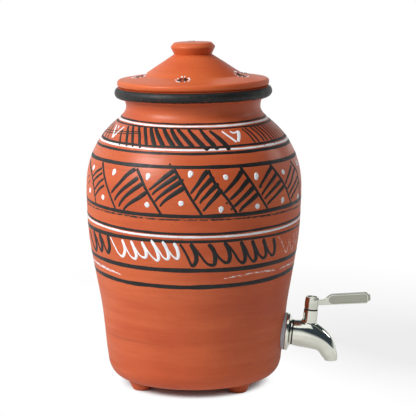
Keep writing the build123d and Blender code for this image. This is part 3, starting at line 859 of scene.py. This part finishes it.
def stroke(paint, places, width, lift=0.26, start=0.6, end=0.4, dry=0.05, pen=None):
    # One brush mark. width runs along the mark; start and end are the shares of it at
    # the ends; a pen is as wide as its second value where it climbs
    line = smooth_path(places, WALL_FACE.radius(float(np.mean([p[1] for p in places]))))
    count = len(line)
    spots = np.array([WALL_FACE.place(turn, along, 0) for turn, along in line])
    run = np.gradient(spots, axis=0)
    length = np.concatenate([[0], np.cumsum(np.linalg.norm(np.diff(spots, axis=0), axis=1))])
    if pen:
        climb = np.gradient(line[:, 1]) / np.maximum(np.linalg.norm(run, axis=1), 1e-6)
        share = np.clip(PEN_LEVEL + PEN_CLIMB * climb, 0, 1)
        share = np.pad(share, PEN_SMOOTHING // 2, "edge")
        share = np.convolve(share, np.ones(PEN_SMOOTHING) / PEN_SMOOTHING, "valid")
        widths = pen[0] + (pen[1] - pen[0]) * share
    else:
        stops = np.atleast_1d(width)
        widths = np.interp(length / length[-1], np.linspace(0, 1, len(stops)), stops)
    lift = paint.lift(lift)
    seed = paint.count * STROKE_SEED
    ring = len(LENS) + 1
    points = []
    for i, (turn, along) in enumerate(line):
        around = Vector((-sin(turn), cos(turn), 0))
        above = Vector(WALL_FACE.place(turn, along + 0.5, 0))
        upslope = above - Vector(WALL_FACE.place(turn, along - 0.5, 0))
        normal = around.cross(upslope).normalized()
        across_mark = Vector(run[i]).normalized().cross(normal).normalized()
        radius = hypot(spots[i][0], spots[i][1])
        full = widths[i] / 2
        from_start = min(1, length[i] / (widths[0] * TAPER))
        from_end = min(1, (length[-1] - length[i]) / (widths[-1] * TAPER))
        full *= start + (1 - start) * sin(from_start * pi / 2)
        full *= end + (1 - end) * sin(from_end * pi / 2)
        for across, rise in LENS:
            shake = 0
            if abs(across) == 1:
                spot = (length[i] * STROKE_RATE, across * STROKE_EDGE_RATE, seed)
                shake = EDGE_SHAKE * noise.noise(spot)
            step = across_mark * across * (full + shake)
            up = along + step.dot(upslope) / upslope.length_squared
            points.append(WALL_FACE.place(turn + step.dot(around) / radius, up, lift * rise))
        points.append(WALL_FACE.place(turn, along, -PAINT_SINK))
    faces = ring_faces(count, ring)
    faces.append(tuple(range(ring))[::-1])
    faces.append(tuple((count - 1) * ring + k for k in range(ring)))
    paint.add(points, faces, dry)


def ring_height(ring, turn):
    return ring[0] + ring[1] * sin(turn) + ring[2] * cos(turn)


def band(paint, left, middle, right, widths, lift=0.16, dry=0.04, shake=0.35, seed=0.0):
    # A ring round the jar whose height leans as its three pixels say; widths at its
    # left and right are in pixels too
    found = [WALL_FACE.find(*spot) for spot in (left, middle, right)]
    system = [[1, sin(turn), cos(turn)] for turn, height in found]
    ring = np.linalg.solve(system, [height for turn, height in found])
    rows = LENS + [(0, None)]
    points = []
    for turn in circle(BAND_SEGMENTS):
        x, y = cos(turn) * BAND_RATE, sin(turn) * BAND_RATE
        height = ring_height(ring, turn) + shake * noise.noise((x, y, seed))
        width = widths[0] + (widths[1] - widths[0]) * (1 + cos(turn)) / 2
        half = width * MM_PER_PIXEL / 2
        spot = (x * BAND_SWELL_RATE, y * BAND_SWELL_RATE, seed + BAND_SWELL_SEED)
        swell = 1 + BAND_SWELL * noise.noise(spot)
        slope = hypot(1, float(wall_radius(height + 1) - wall_radius(height - 1)) / 2)
        for across, rise in rows:
            shaken = 0
            if abs(across) == 1:
                spot = (x * BAND_EDGE_RATE, y * BAND_EDGE_RATE, seed + across)
                shaken = EDGE_SHAKE * noise.noise(spot)
            up = across * (half * swell + shaken) / slope
            out = -PAINT_SINK if rise is None else lift * rise
            points.append(WALL_FACE.place(turn, height + up, out))
    paint.add(points, closed_faces(BAND_SEGMENTS, len(rows)), dry)
    return ring


def blob(paint, place, width, lift, tall=1.0, pit=0.0, tail=0, face=WALL_FACE, sides=20):
    # A drop of paint, with a pit in its middle where it has dried inwards and a tail
    # where the brush left it
    turn, along = place
    lift = paint.lift(lift)
    seed = paint.count * DROP_SEED
    radius = face.radius(along)
    points = []
    for share, rise, hollow in DROP_RINGS:
        for angle in circle(sides):
            x, y = cos(angle), sin(angle)
            uneven = DROP_UNEVEN * noise.noise((x * DROP_RATE, y * DROP_RATE, seed))
            reach = width / 2 * share * (1 + uneven)
            reach += max(0, x * TAIL_WAY[0] + y * TAIL_WAY[1]) ** TAIL_POWER * tail * share
            points.append(face.place(
                turn + x * reach / radius, along + y * reach * tall, lift * (rise - hollow * pit),
            ))
    points.append(face.place(turn, along, lift * (1 - pit)))
    points.append(face.place(turn, along, -PAINT_SINK))
    faces = ring_faces(len(DROP_RINGS), sides)
    last = (len(DROP_RINGS) - 1) * sides
    top = len(DROP_RINGS) * sides
    for k in range(sides):
        n = (k + 1) % sides
        faces.append((last + k, last + n, top))
        faces.append((n, k, top + 1))
    paint.add(points, faces, [0.0] * top + [DROP_DRY * pit, 0.0])


def spots(region, *places):
    # Places on the clay from places read in an enlarged region of the photograph
    x0, y0, scale = region
    return [WALL_FACE.find(x0 + x / scale, y0 + y / scale) for x, y in places]


def dot(place, width, tail):
    blob(white_marks, place, width, lift=0.55, tall=1.05, pit=0.5, tail=tail)


# Regions of the photograph: left and top pixel, and how far each is enlarged
PHOTO = (0, 0, 1)
LEFT_UP = (84, 145, 19.6)
MIDDLE_UP = (150, 145, 19.6)
RIGHT_UP = (220, 145, 18.23)
LEFT_TOP = (90, 100, 19.6)
MIDDLE_TOP = (160, 100, 19.6)
RIGHT_TOP = (230, 100, 19.6)
RIGHT_FINE = (220, 105, 8.8)
LOOP_LEFT = (84, 218, 15.0)
LOOP_RIGHT = (190, 215, 14.474)
black_bands, white_bands, black_marks, white_marks = Paint(), Paint(), Paint(), Paint()

# Bands: three pixels on each, and its widths
band(black_bands, (125, 118.3), (190, 124.3), (255, 119.6), (1.9, 2.0), seed=1)
band(white_bands, (125, 120.7), (190, 126.6), (255, 122.1), (2.1, 2.1), lift=0.2, seed=2)
stroke_top = band(black_bands, (125, 123.6), (190, 128.9), (255, 124.9), (1.9, 2.0), seed=3)
stroke_foot = band(black_bands, (108, 139.8), (190, 147.4), (270, 141.5), (2.4, 2.7), seed=4)
band(white_bands, (108, 142.5), (190, 150.3), (270, 144.9), (2.0, 2.0), lift=0.2, seed=5)
band(black_bands, (108, 147.4), (190, 153.9), (270, 148.2), (2.4, 3.2), dry=0.08, seed=6)
triangle_top = band(black_bands, (108, 161), (190, 167.5), (282, 160), (3.6, 3.8), seed=7)
triangle_foot = band(black_bands, (108, 208.5), (190, 216.7), (282, 207.4), (3.2, 4.2), seed=8)
band(black_bands, (108, 212.0), (190, 220.2), (288, 210.7), (1.7, 2.0), lift=0.12, dry=0.3, seed=9)
band(black_bands, (108, 224.8), (190, 234.2), (270, 227.3), (2.5, 2.5), seed=10)
band(white_bands, (110, 228.4), (190, 237.6), (270, 230.8), (2.2, 2.1), lift=0.2, seed=11)
loop_top = band(black_bands, (108, 233.6), (190, 241.9), (270, 235.6), (4.4, 2.1), seed=12)
loop_foot = band(black_bands, (108, 260.7), (190, 270.9), (270, 263.5), (4.2, 4.8), seed=13)
band(black_bands, (108, 276.3), (190, 287.5), (270, 278.5), (3.8, 4.7), seed=14)

# Triangle band: long falling lines, then the hatching between them
for line in (
    [(90.6, 160), (92.6, 178), (96.2, 205)],
    [(102.9, 162), (104.4, 175.6), (108.5, 191), (115.6, 209.3)],
    [(137, 168.5), (141.4, 179), (146.2, 190), (154.5, 204), (162.8, 217.4)],
    [(174, 169), (181.6, 182.2), (191.8, 200), (202, 215.4)],
    [(208.2, 170), (215.3, 183.8), (228, 200), (237, 213.5)],
    [(240.3, 167), (257.3, 191.6), (267.7, 208.6)],
    [(270, 164.2), (284.2, 184.5), (290.8, 202.6)],
    [(290.2, 161), (296.2, 170.2), (298.4, 180), (299.2, 197)],
):
    stroke(black_marks, spots(PHOTO, *line), [2.9, 2.7, 2.3], start=0.8, end=0.5)
for region, width, lines in (
    (LEFT_UP, [1.1, 1.0, 0.8], [
        [(110, 590), (90, 615), (75, 640)], [(120, 690), (98, 725), (85, 760)],
    ]),
    (LEFT_UP, [2.4, 2.6, 1.8], [
        [(350, 455), (250, 520), (190, 590), (160, 640)],
        [(360, 545), (260, 620), (200, 690), (170, 760)],
        [(385, 660), (290, 740), (235, 820), (200, 880)],
        [(395, 790), (300, 860), (250, 930), (215, 1000)],
    ]),
    (LEFT_UP, [4.4, 3.9, 3.1, 2.2], [
        [(1010, 470), (860, 570), (720, 720), (600, 850), (530, 940)],
        [(1060, 640), (900, 760), (760, 870), (650, 990), (595, 1090)],
        [(1140, 760), (980, 870), (830, 990), (720, 1120), (680, 1210)],
        [(1215, 930), (1080, 1030), (930, 1120), (830, 1200), (770, 1270)],
    ]),
    (MIDDLE_UP, [4.7, 4.3, 3.2, 1.9], [
        [(470, 500), (330, 600), (180, 720), (20, 850), (-25, 885)],
        [(520, 620), (380, 710), (230, 810), (100, 910), (40, 980)],
        [(620, 710), (480, 800), (330, 900), (190, 1010), (90, 1110)],
        [(680, 830), (540, 920), (400, 1010), (270, 1110), (190, 1210)],
    ]),
    (MIDDLE_UP, [4.9, 4.1, 3.1, 2.0], [
        [(1135, 500), (1040, 620), (930, 780), (850, 880), (795, 960)],
        [(1230, 640), (1120, 760), (1000, 890), (920, 1010), (860, 1100)],
        [(1310, 780), (1200, 890), (1090, 1010), (1020, 1080), (975, 1150)],
        [(1390, 880), (1290, 1010), (1180, 1130), (1090, 1240), (1035, 1300)],
    ]),
    (RIGHT_UP, [4.9, 4.2, 3.5, 2.6], [
        [(400, 470), (330, 590), (250, 690), (160, 790), (75, 880)],
        [(530, 620), (450, 720), (360, 830), (260, 930), (180, 1000)],
        [(620, 760), (530, 860), (430, 960), (330, 1060), (240, 1140)],
        [(690, 890), (600, 980), (510, 1060), (420, 1140), (350, 1220)],
    ]),
    (RIGHT_UP, [4.0, 3.5, 2.8, 2.3], [
        [(940, 400), (880, 500), (810, 620), (750, 720), (715, 790)],
        [(1040, 500), (970, 610), (890, 720), (810, 830), (760, 920)],
        [(1110, 650), (1020, 750), (930, 850), (860, 930), (810, 990)],
        [(1170, 740), (1080, 850), (990, 950), (910, 1030), (865, 1090)],
    ]),
    (RIGHT_UP, [3.0, 2.8, 2.5], [
        [(1300, 370), (1270, 480), (1230, 600), (1190, 710)],
        [(1360, 430), (1330, 540), (1290, 680), (1225, 800)],
        [(1410, 570), (1370, 680), (1310, 800), (1260, 900)],
        [(1430, 640), (1390, 780), (1340, 880), (1290, 980)],
    ]),
):
    for line in lines:
        stroke(black_marks, spots(region, *line), width, start=0.7, end=0.3)
for x, y, size in (
    (182.5, 180.3, 2.6), (169.9, 164.3, 1.9), (212.5, 178.6, 4.2),
    (217.4, 184.6, 3.6), (221.2, 190.6, 3.2), (261.0, 186.2, 3.0),
    (222.3, 193.6, 2.2), (226.8, 203.2, 2.2), (231.5, 209.3, 2.2),
):
    blob(black_marks, WALL_FACE.find(x, y), size * MM_PER_PIXEL, lift=0.38)

# Dots of the triangle band
for x, y, tail in (
    (93.7, 167.5, 0), (114.2, 171.6, 1), (148.2, 175.8, 1), (190.6, 173.6, 1),
    (225.7, 177, 0), (256.5, 175.3, 1.6), (283.2, 171.9, 0), (296.4, 163.1, 0),
    (102.9, 197.3, 0), (90, 190.2, 0), (146.9, 204.7, 0), (181.2, 203.6, 0),
    (221.3, 209, 1), (257.5, 206.1, 0), (282.6, 199.5, 0.8), (297.6, 195.9, 0),
):
    dot(WALL_FACE.find(x, y), 4.7, tail * DOT_TAIL)

# Brush strokes under the shoulder line
for region, width, lines in (
    (LEFT_TOP, [1.1, 1.0], [
        [(440, 450), (340, 580), (255, 705)], [(410, 480), (300, 620), (235, 700)],
    ]),
    (LEFT_TOP, [1.6, 1.4], [
        [(500, 450), (430, 560), (380, 660), (340, 755)],
        [(470, 440), (390, 560), (330, 660), (290, 745)],
    ]),
    (LEFT_TOP, [1.9, 2.3], [[(640, 590), (605, 700), (590, 860)]]),
    (LEFT_TOP, [2.4, 3.0, 2.8], [
        [(755, 530), (735, 680), (715, 870)], [(850, 530), (840, 700), (835, 870)],
        [(965, 540), (975, 700), (975, 890)],
    ]),
    (LEFT_TOP, [3.4, 3.3, 3.1], [[(1085, 550), (1095, 720), (1110, 900)]]),
    (LEFT_TOP, [3.1, 4.0, 4.2], [
        [(1200, 560), (1225, 730), (1270, 900)], [(1290, 560), (1350, 720), (1440, 905)],
    ]),
    (MIDDLE_TOP, [3.2, 4.2, 4.4], [
        [(80, 570), (170, 760), (270, 915)], [(230, 590), (310, 750), (440, 925)],
        [(360, 590), (480, 730), (650, 925)],
    ]),
    (MIDDLE_TOP, [2.6, 4.6, 4.8], [
        [(570, 600), (690, 740), (870, 925)], [(800, 600), (930, 760), (1080, 910)],
        [(990, 620), (1140, 740), (1320, 905)],
    ]),
):
    for line in lines:
        stroke(black_marks, carried_on(spots(region, *line), 0.16), width, start=0.7, end=0.8)
for width, top_x, foot_x in (
    (2.0, 190, 310), (2.2, 215, 345), (2.3, 255, 390), (2.3, 285, 420), (2.2, 310, 455),
    (2.0, 340, 480), (2.0, 362, 503), (1.9, 384, 525), (1.9, 404, 545), (1.8, 422, 563),
    (1.8, 440, 580), (1.7, 457, 596), (1.7, 474, 610), (1.6, 489, 622), (1.6, 503, 632),
):
    top, foot = (top_x, 205 - (top_x - 190) * 0.3), (foot_x, 328 - (foot_x - 310) * 0.18)
    bend = ((top[0] + foot[0]) / 2 + 6, (top[1] + foot[1]) / 2 - 4)
    stroke(black_marks, spots(RIGHT_FINE, top, bend, foot), width, start=0.7, end=0.8)
for region, x, y, size in (
    (LEFT_TOP, 580, 875, 1.9), (LEFT_TOP, 718, 895, 2.4), (LEFT_TOP, 838, 905, 2.4),
    (LEFT_TOP, 980, 925, 2.8), (MIDDLE_TOP, 915, 955, 5.8), (MIDDLE_TOP, 1110, 945, 4.8),
    (MIDDLE_TOP, 1340, 945, 5.4), (RIGHT_TOP, 680, 880, 1.4), (RIGHT_TOP, 870, 845, 1.4),
):
    blob(black_marks, spots(region, (x, y))[0], size * MM_PER_PIXEL, lift=0.4, tall=0.7)

# White chevrons among the strokes
for region, width, line in (
    (LEFT_TOP, [1.9, 2.2, 2.4], [(530, 485), (480, 620), (440, 735)]),
    (LEFT_TOP, [2.4, 2.2, 2.0], [(445, 730), (560, 620), (680, 520)]),
    (LEFT_TOP, [1.4, 1.3], [(575, 500), (560, 560)]),
    (MIDDLE_TOP, [1.5, 1.9, 2.2], [(1210, 610), (1360, 720), (1500, 820)]),
    (MIDDLE_TOP, [2.7, 3.3, 3.4], [(1535, 815), (1545, 700), (1525, 600)]),
    (MIDDLE_TOP, [1.7, 1.8, 1.7], [(1370, 610), (1430, 645), (1510, 625)]),
):
    stroke(white_marks, spots(region, *line), width, lift=0.32, start=0.8, end=0.8)

# Loops between the lower bands
for paint, region, pen, line in (
    (white_marks, LOOP_LEFT, (1.4, 3.0), [
        (395, 285), (470, 440), (520, 530), (580, 575), (612, 500), (602, 410), (570, 325),
        (640, 470), (700, 570), (762, 612), (785, 570), (755, 465), (708, 350),
        (770, 460), (840, 560), (912, 595), (935, 550), (910, 455), (866, 360),
        (950, 490), (1030, 590), (1097, 640), (1118, 590), (1075, 455), (1012, 335),
        (1110, 470), (1180, 580), (1247, 622), (1270, 570), (1235, 455), (1178, 352),
        (1260, 480), (1330, 570), (1397, 615), (1416, 555), (1390, 450), (1345, 375),
    ]),
    (black_marks, LOOP_RIGHT, (2.2, 4.0), [
        (-148, 420), (-95, 500), (-40, 600), (30, 735), (85, 680), (90, 600), (60, 510),
        (15, 425), (90, 510), (160, 600), (230, 690), (290, 725), (350, 718), (366, 640),
        (355, 550), (320, 480), (268, 425), (340, 500), (400, 590), (460, 655), (510, 690),
        (558, 680), (580, 610), (565, 520), (540, 455), (508, 405), (570, 460), (640, 550),
        (690, 635), (740, 685), (778, 690), (800, 635), (795, 560), (770, 460), (742, 390),
        (810, 490), (850, 585), (890, 650), (930, 670), (958, 620), (950, 520), (925, 430),
        (902, 370),
        (960, 480), (1000, 570), (1045, 618), (1080, 615), (1104, 560), (1095, 460), (1067, 355),
        (1110, 460), (1150, 545), (1190, 582), (1222, 540), (1228, 440), (1210, 330),
    ]),
    (black_marks, LOOP_LEFT, (2.6, 4.6), [
        (95, 185), (110, 260), (145, 400), (182, 480), (192, 400), (170, 300), (150, 205),
        (190, 300), (228, 420), (262, 490), (275, 420), (252, 330), (236, 245),
        (280, 330), (312, 430), (358, 515), (384, 450), (372, 350), (350, 250),
    ]),
):
    stroke(paint, spots(region, *line), None, lift=0.32, start=0.6, end=0.5, pen=pen)
stroke(white_marks, spots(
    LOOP_RIGHT, (1265, 310), (1310, 350), (1350, 450), (1390, 540), (1420, 450), (1440, 360),
    (1452, 440), (1470, 505), (1490, 430), (1505, 265), (1515, 350), (1525, 435), (1540, 300),
    (1552, 205),
), [1.2, 1.1, 0.9], lift=0.2, dry=0.4)

# Dry, half-worn white lines under the loops
for line, width, dry in (
    ([
        (94, 259.3), (98.7, 264), (104, 267), (109.3, 269.7), (115, 272), (121.5, 275),
    ], [1.2, 2.0, 2.4, 2.0, 0.8], 0.3),
    ([
        (224, 278.6), (235, 276.5), (244, 275.1), (252, 273), (262, 272), (271.5, 270.3),
        (275.7, 269.8),
    ], [1.0, 1.7, 1.8, 1.4], 0.4),
    ([(279, 269), (286.7, 265.4), (293.6, 261.3)], [1.2, 1.6, 1.0], 0.4),
):
    stroke(white_marks, spots(PHOTO, *line), width, lift=0.14, dry=dry, start=0.3, end=0.2)

# Far side: the same bands carried on by hand, a little unevenly
random.seed(7)
TRIANGLES = (triangle_top, triangle_foot)
STROKES = (stroke_top, stroke_foot)
LOOPS = (loop_top, loop_foot)
CELL_FIRST = radians(13.5)
CELL_TURN = radians(22.4)
CELL_LEAN = radians(14.5)
CELL_INSET = radians(2.5)
CELLS = 7
CELL_DOTS = ((radians(9.5), 0.13), (radians(25.5), 0.86))
HATCHES = 4
HATCH_HIGH = 0.04
HATCH_HIGH_STEP = 0.15
HATCH_LOW = 0.5
HATCH_LOW_STEP = 0.13
HATCH_BEND = 1.15
STROKE_FIRST = radians(9)
STROKE_TURN = radians(4.3)
STROKE_LEAN = radians(6.0)
STROKE_COUNT = 41
WHITE_STROKES = (15, 31)
LOOP = ((0.0, 0.03), (0.43, 0.5), (0.71, 0.8), (1.04, 0.93), (1.24, 0.7), (1.2, 0.42))
LOOP_TOP = 0.08
LOOP_END = 0.12
LOOP_DEPTH = 0.86
DRY_DROP = 4.2
DRY_FALL = 2.6
DRY_COUNT = 6


def share_place(bands, turn, share):
    # Place between two bands, by the share of the way down
    top, foot = (ring_height(ring, turn) for ring in bands)
    return turn, top * (1 - share) + foot * share


def degrees(low, high):
    return radians(random.uniform(low, high))


for cell in range(CELLS + 1):
    start = CELL_FIRST + cell * CELL_TURN + degrees(-1.2, 1.2)
    line = [share_place(TRIANGLES, start + CELL_LEAN * v, v) for v in (0.0, 0.35, 0.7, 1.0)]
    stroke(black_marks, line, [2.9, 2.6, 2.2], start=0.8, end=0.5)
    if cell == CELLS:
        break
    for k in range(HATCHES):
        high = HATCH_HIGH + HATCH_HIGH_STEP * k + random.uniform(-0.02, 0.02)
        low = HATCH_LOW + HATCH_LOW_STEP * k + random.uniform(-0.03, 0.03)
        right = start + CELL_TURN + CELL_LEAN * high
        left = start + CELL_LEAN * low + CELL_INSET
        line = []
        for t in (0.0, 0.3, 0.65, 1.0):
            down = high + (low - high) * (t ** HATCH_BEND)
            line.append(share_place(TRIANGLES, right + (left - right) * t, down))
        width = [random.uniform(3.6, 4.8), 3.8, 2.9, 1.8]
        stroke(black_marks, line, width, start=0.7, end=0.3)
    for inset, v in CELL_DOTS:
        turn = start + inset + degrees(-1, 1)
        place = share_place(TRIANGLES, turn, v + random.uniform(-0.02, 0.02))
        dot(place, random.uniform(4.3, 5.0), random.choice((0, 0, DOT_TAIL)))

for k in range(STROKE_COUNT):
    turn = STROKE_FIRST + k * STROKE_TURN + degrees(-0.5, 0.5)
    if any(abs(k - white) < 2 for white in WHITE_STROKES):
        continue
    line = [
        share_place(STROKES, turn + STROKE_LEAN * v, v)
        for v in (0.05, 0.5, random.uniform(0.9, 1.02))
    ]
    wide = random.uniform(2.2, 4.2)
    stroke(black_marks, line, [wide * 0.75, wide, wide * 1.05], start=0.5, end=0.8)
for white in WHITE_STROKES:
    turn = STROKE_FIRST + white * STROKE_TURN
    for width, line in (
        ([1.6, 2.0, 2.3], ((-5.0, 0.05), (-1.0, 0.5), (3.2, 0.92))),
        ([2.6, 3.2, 3.3], ((3.6, 0.9), (3.6, 0.5), (2.6, 0.08))),
        ([1.6, 1.7], ((-1.0, 0.1), (2.4, 0.2))),
    ):
        places = [share_place(STROKES, turn + radians(a), v) for a, v in line]
        stroke(white_marks, places, width, lift=0.32, start=0.8, end=0.8)

for paint, first, loops, period, pen in (
    (black_marks, 10.0, 6, 8.6, (2.2, 4.0)), (white_marks, 66.0, 6, 7.2, (1.6, 3.4)),
    (black_marks, 113.0, 7, 8.4, (2.2, 4.0)),
):
    line = []
    for k in range(loops):
        deep = random.uniform(0.84, 0.97)
        for u, v in LOOP:
            turn = radians(first + (k + u) * period)
            line.append(share_place(LOOPS, turn, LOOP_TOP + v * deep * LOOP_DEPTH))
    line.append(share_place(LOOPS, radians(first + loops * period), LOOP_END))
    stroke(paint, line, None, lift=0.32, start=0.6, end=0.5, pen=pen)
for first, last in ((12, 34), (60, 95), (128, 160)):
    line = []
    for i, turn in enumerate(np.radians(np.linspace(first, last, DRY_COUNT))):
        fall = DRY_FALL * i / (DRY_COUNT - 1)
        line.append((turn, ring_height(loop_foot, turn) - DRY_DROP - fall))
    stroke(white_marks, line, [0.8, 1.6, 1.5, 0.7], lift=0.14, dry=0.5, start=0.3, end=0.2)

black_bands.piece("paint_black_bands", black_paint, "jar")
white_bands.piece("paint_white_bands", white_paint, "jar")
black_marks.piece("paint_black_marks", black_paint, "jar")
white_marks.piece("paint_white_marks", white_paint, "jar")

# Rosettes: six round the lid's brim, three of them placed by pixels, and one on the knob
ROSETTE_SIZE = 5.6
KNOB_ROSETTE_SIZE = 4.6
ROSETTES = ((182.7, 81.2), (139.5, 76.2), (241.5, 76.6))
KNOB_ROSETTE = (191.6, 41.0)
FAR_ROSETTES = (120, 180, 240)
lid_black, lid_white = Paint(), Paint()


def rosette(x, y, size):
    # Dark petals in a ring of white dots
    for paint, count, reach, low, high, lift in (
        (lid_black, 6, 0.6, 0.5, 0.75, 0.3), (lid_white, 10, 1.14, 0.24, 0.38, 0.36),
    ):
        for angle in circle(count):
            angle += random.uniform(-0.16, 0.16)
            place = (x + size * reach * cos(angle), y + size * reach * sin(angle))
            blob(paint, place, size * random.uniform(low, high), lift, face=LID_FACE, sides=12)


for x, y in ROSETTES:
    rosette(*LID_FACE.find(x, y), ROSETTE_SIZE)
first = Vector(LID_FACE.find(*ROSETTES[0]))
for turn in FAR_ROSETTES:
    turned = Matrix.Rotation(radians(turn + random.uniform(-4, 4)), 2) @ first
    rosette(turned.x, turned.y, ROSETTE_SIZE)
rosette(*LID_FACE.find(*KNOB_ROSETTE), KNOB_ROSETTE_SIZE)
lid_black.piece("paint_lid_black", black_paint, "lid")
lid_white.piece("paint_lid_white", white_paint, "lid")

# Black coat on the rolled rim, with uneven edges
COAT_FIRST = 0.34
COAT_LAST = 0.97
COAT_SLIP = 0.5
COAT_EDGE = -0.03
COAT_SINK = 0.25
COAT_DRY = [0.4, 0.22]
COAT_WET = 0.1
COAT_SLIP_RATE = 9
COAT_SLIP_SEED = 3.3
COAT_UNEVEN = 0.3
COAT_RATE = 8
COAT_ROW_RATE = 0.4
coat_line = roll_line[int(len(roll_line) * COAT_FIRST): int(len(roll_line) * COAT_LAST)]
middle_radius, middle_height = coat_line[len(coat_line) // 2]
coat_points = []
for turn in circle(JAR_SEGMENTS):
    x, y = cos(turn), sin(turn)
    slip = COAT_SLIP * noise.noise((x * COAT_SLIP_RATE, y * COAT_SLIP_RATE, COAT_SLIP_SEED))
    for i, (radius, height) in enumerate(coat_line):
        out = np.array((radius, height)) - rim_centre
        out /= np.linalg.norm(out)
        uneven = COAT_UNEVEN * noise.noise((x * COAT_RATE, y * COAT_RATE, i * COAT_ROW_RATE))
        rise = RIM_PAINT_LIFT * (1 + uneven)
        if i in (0, len(coat_line) - 1):
            rise = COAT_EDGE
        extra = slip if i == 0 else 0
        spot = at(radius, turn, height)
        reach = radius + out[0] * rise + clay_swell(spot)
        level = height + rim_lean(spot) + out[1] * rise + extra
        coat_points.append(at(reach, turn, level))
    spot = at(middle_radius, turn, middle_height)
    reach = middle_radius - COAT_SINK + clay_swell(spot)
    coat_points.append(at(reach, turn, middle_height + rim_lean(spot)))
row = len(coat_line) + 1
dryness = COAT_DRY + [COAT_WET] * (row - len(COAT_DRY))
rim_paint = Paint()
rim_paint.add(coat_points, closed_faces(JAR_SEGMENTS, row), dryness * JAR_SEGMENTS)
rim_paint.piece("paint_rim_coat", black_paint, "jar")

# Floor: seen as the white backdrop, with the jar's shadow on it. Lengths from here on
# are in metres.
KEY_TURN = radians(-57)
FLOOR_RADIUS = 0.7
FLOOR_SEGMENTS = 96
FLOOR_SHADE = 0.22
FLOOR_SHADE_IN_STEEL = 0.55
FLOOR_FADE = (0.3, 0.55)
SHADOW_START = (0.1, 0.2)
CONTACT_REACH = 0.045
CONTACT_RANGE = (0.11, 0.27)
floor_mesh = bpy.data.meshes.new("floor")
edge = [at(FLOOR_RADIUS, turn, 0) for turn in circle(FLOOR_SEGMENTS)]
floor_mesh.from_pydata(edge, [], [tuple(range(FLOOR_SEGMENTS))])
floor = add_object("floor", floor_mesh)
floor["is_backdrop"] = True
net = Net(bpy.data.materials.new("floor_white"))
floor_mesh.materials.append(net.block)
net.finish({
    "Base Color": (0.8, 0.8, 0.8, 1), "Roughness": 1.0, "Specular IOR Level": 0.0,
})
place = net.place()
near = net.ramp(net.vector("LENGTH", place), *FLOOR_FADE, 1.0, 0.0)
from_key = tuple(away * cos(KEY_TURN) - side * sin(KEY_TURN))
behind = net.vector("DOT_PRODUCT", place, from_key)
wide = net.ramp(behind, *SHADOW_START, 0.0, FLOOR_SHADE)
in_steel = net.times(net.ray("Is Glossy Ray"), FLOOR_SHADE_IN_STEEL)
wide = net.times(near, net.math("MAXIMUM", wide, in_steel))
contact = net.add("AmbientOcclusion", {"Distance": CONTACT_REACH}).outputs["AO"]
close = net.ramp(contact, *CONTACT_RANGE, 1.0, 0.0)
bright = net.less(1.0, net.math("MAXIMUM", wide, close))
lit_share = net.times(net.seen_directly(), bright)
backdrop = net.add("Emission", {"Strength": 1.0})
both = net.add("MixShader", {
    0: net.less(1.0, lit_share), 1: backdrop.outputs[0],
    2: net.tree.nodes["Principled BSDF"].outputs[0],
})
net.finish({"Surface": both.outputs[0]}, "Material Output")

# Lamps: turn from the camera's side, rise, distance, size and power
LAMP_AIM = 0.16
for name, turn, rise, distance, size, power in (
    ("key", KEY_TURN, radians(34), 1.9, (0.9, 0.9), 34.5),
    ("overhead", radians(12), radians(72), 1.3, (1.3, 0.8), 3.7),
    ("rim_light", radians(112), radians(23), 1.9, (0.35, 0.5), 3),
):
    data = bpy.data.lights.new(name, "AREA")
    data.shape = "RECTANGLE"
    data.size, data.size_y = size
    data.energy = power
    towards = -away * cos(turn) + side * sin(turn)
    height = sin(rise) * distance + LAMP_AIM
    place = towards * cos(rise) * distance + Vector((0, 0, height))
    lamp = add_object(name, data)
    lamp.location = place
    lamp.rotation_mode = "QUATERNION"
    lamp.rotation_quaternion = (Vector((0, 0, LAMP_AIM)) - place).to_track_quat("-Z", "Y")

# World: white where it is seen, and even light on the object. The polished steel
# reflects a dark room, over white that reaches higher in front of the jar than behind
# it, and lowest on its right.
ROOM_LIGHT = 0.205
ROOM_DARK = (0.04, 0.055, 0.07, 1.0)
DARK_TO_SIDE = 0.6
FRONT_START = (-0.25, 0.25)
FRONT_DARK = (0.12, 0.52)
BACK_DARK = (0.45, 0.75)
net = Net(bpy.data.worlds.new("studio"))
bpy.context.scene.world = net.block
way = net.add("TexCoord", {}).outputs["Generated"]
sideways = net.vector("DOT_PRODUCT", way, tuple(side))
height = net.math("ADD", net.axis(way, "Z"), net.times(sideways, DARK_TO_SIDE))
front = net.ramp(net.vector("DOT_PRODUCT", way, tuple(-away)), *FRONT_START)
front_dark = net.times(net.ramp(height, *FRONT_DARK), front)
behind = net.less(1.0, front)
back_dark = net.times(net.ramp(height, *BACK_DARK), behind)
dark = net.math("ADD", front_dark, back_dark)
room = net.times(dark, net.ray("Is Glossy Ray"))
net.finish({
    "Color": net.mix(room, (1.0, 1.0, 1.0, 1.0), ROOM_DARK),
    "Strength": net.ramp(net.seen_directly(), 0.0, 1.0, ROOM_LIGHT, 1.0),
}, "Background")

# Camera
camera_data = bpy.data.cameras.new("camera")
camera_data.sensor_width = SENSOR
camera_data.lens = SENSOR * CAMERA_PIXELS / PHOTO_SIZE
camera_data.clip_start, camera_data.clip_end = CAMERA_CLIP
camera = add_object("camera", camera_data)
camera.matrix_world = Matrix((
    (turned_side.x, turned_up.x, -ahead.x, 0),
    (turned_side.y, turned_up.y, -ahead.y, 0),
    (turned_side.z, turned_up.z, -ahead.z, 0),
    (0, 0, 0, 1),
))
camera.location = eye * MM
bpy.context.scene.camera = camera

bpy.context.scene.view_settings.view_transform = "Standard"

low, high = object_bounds()
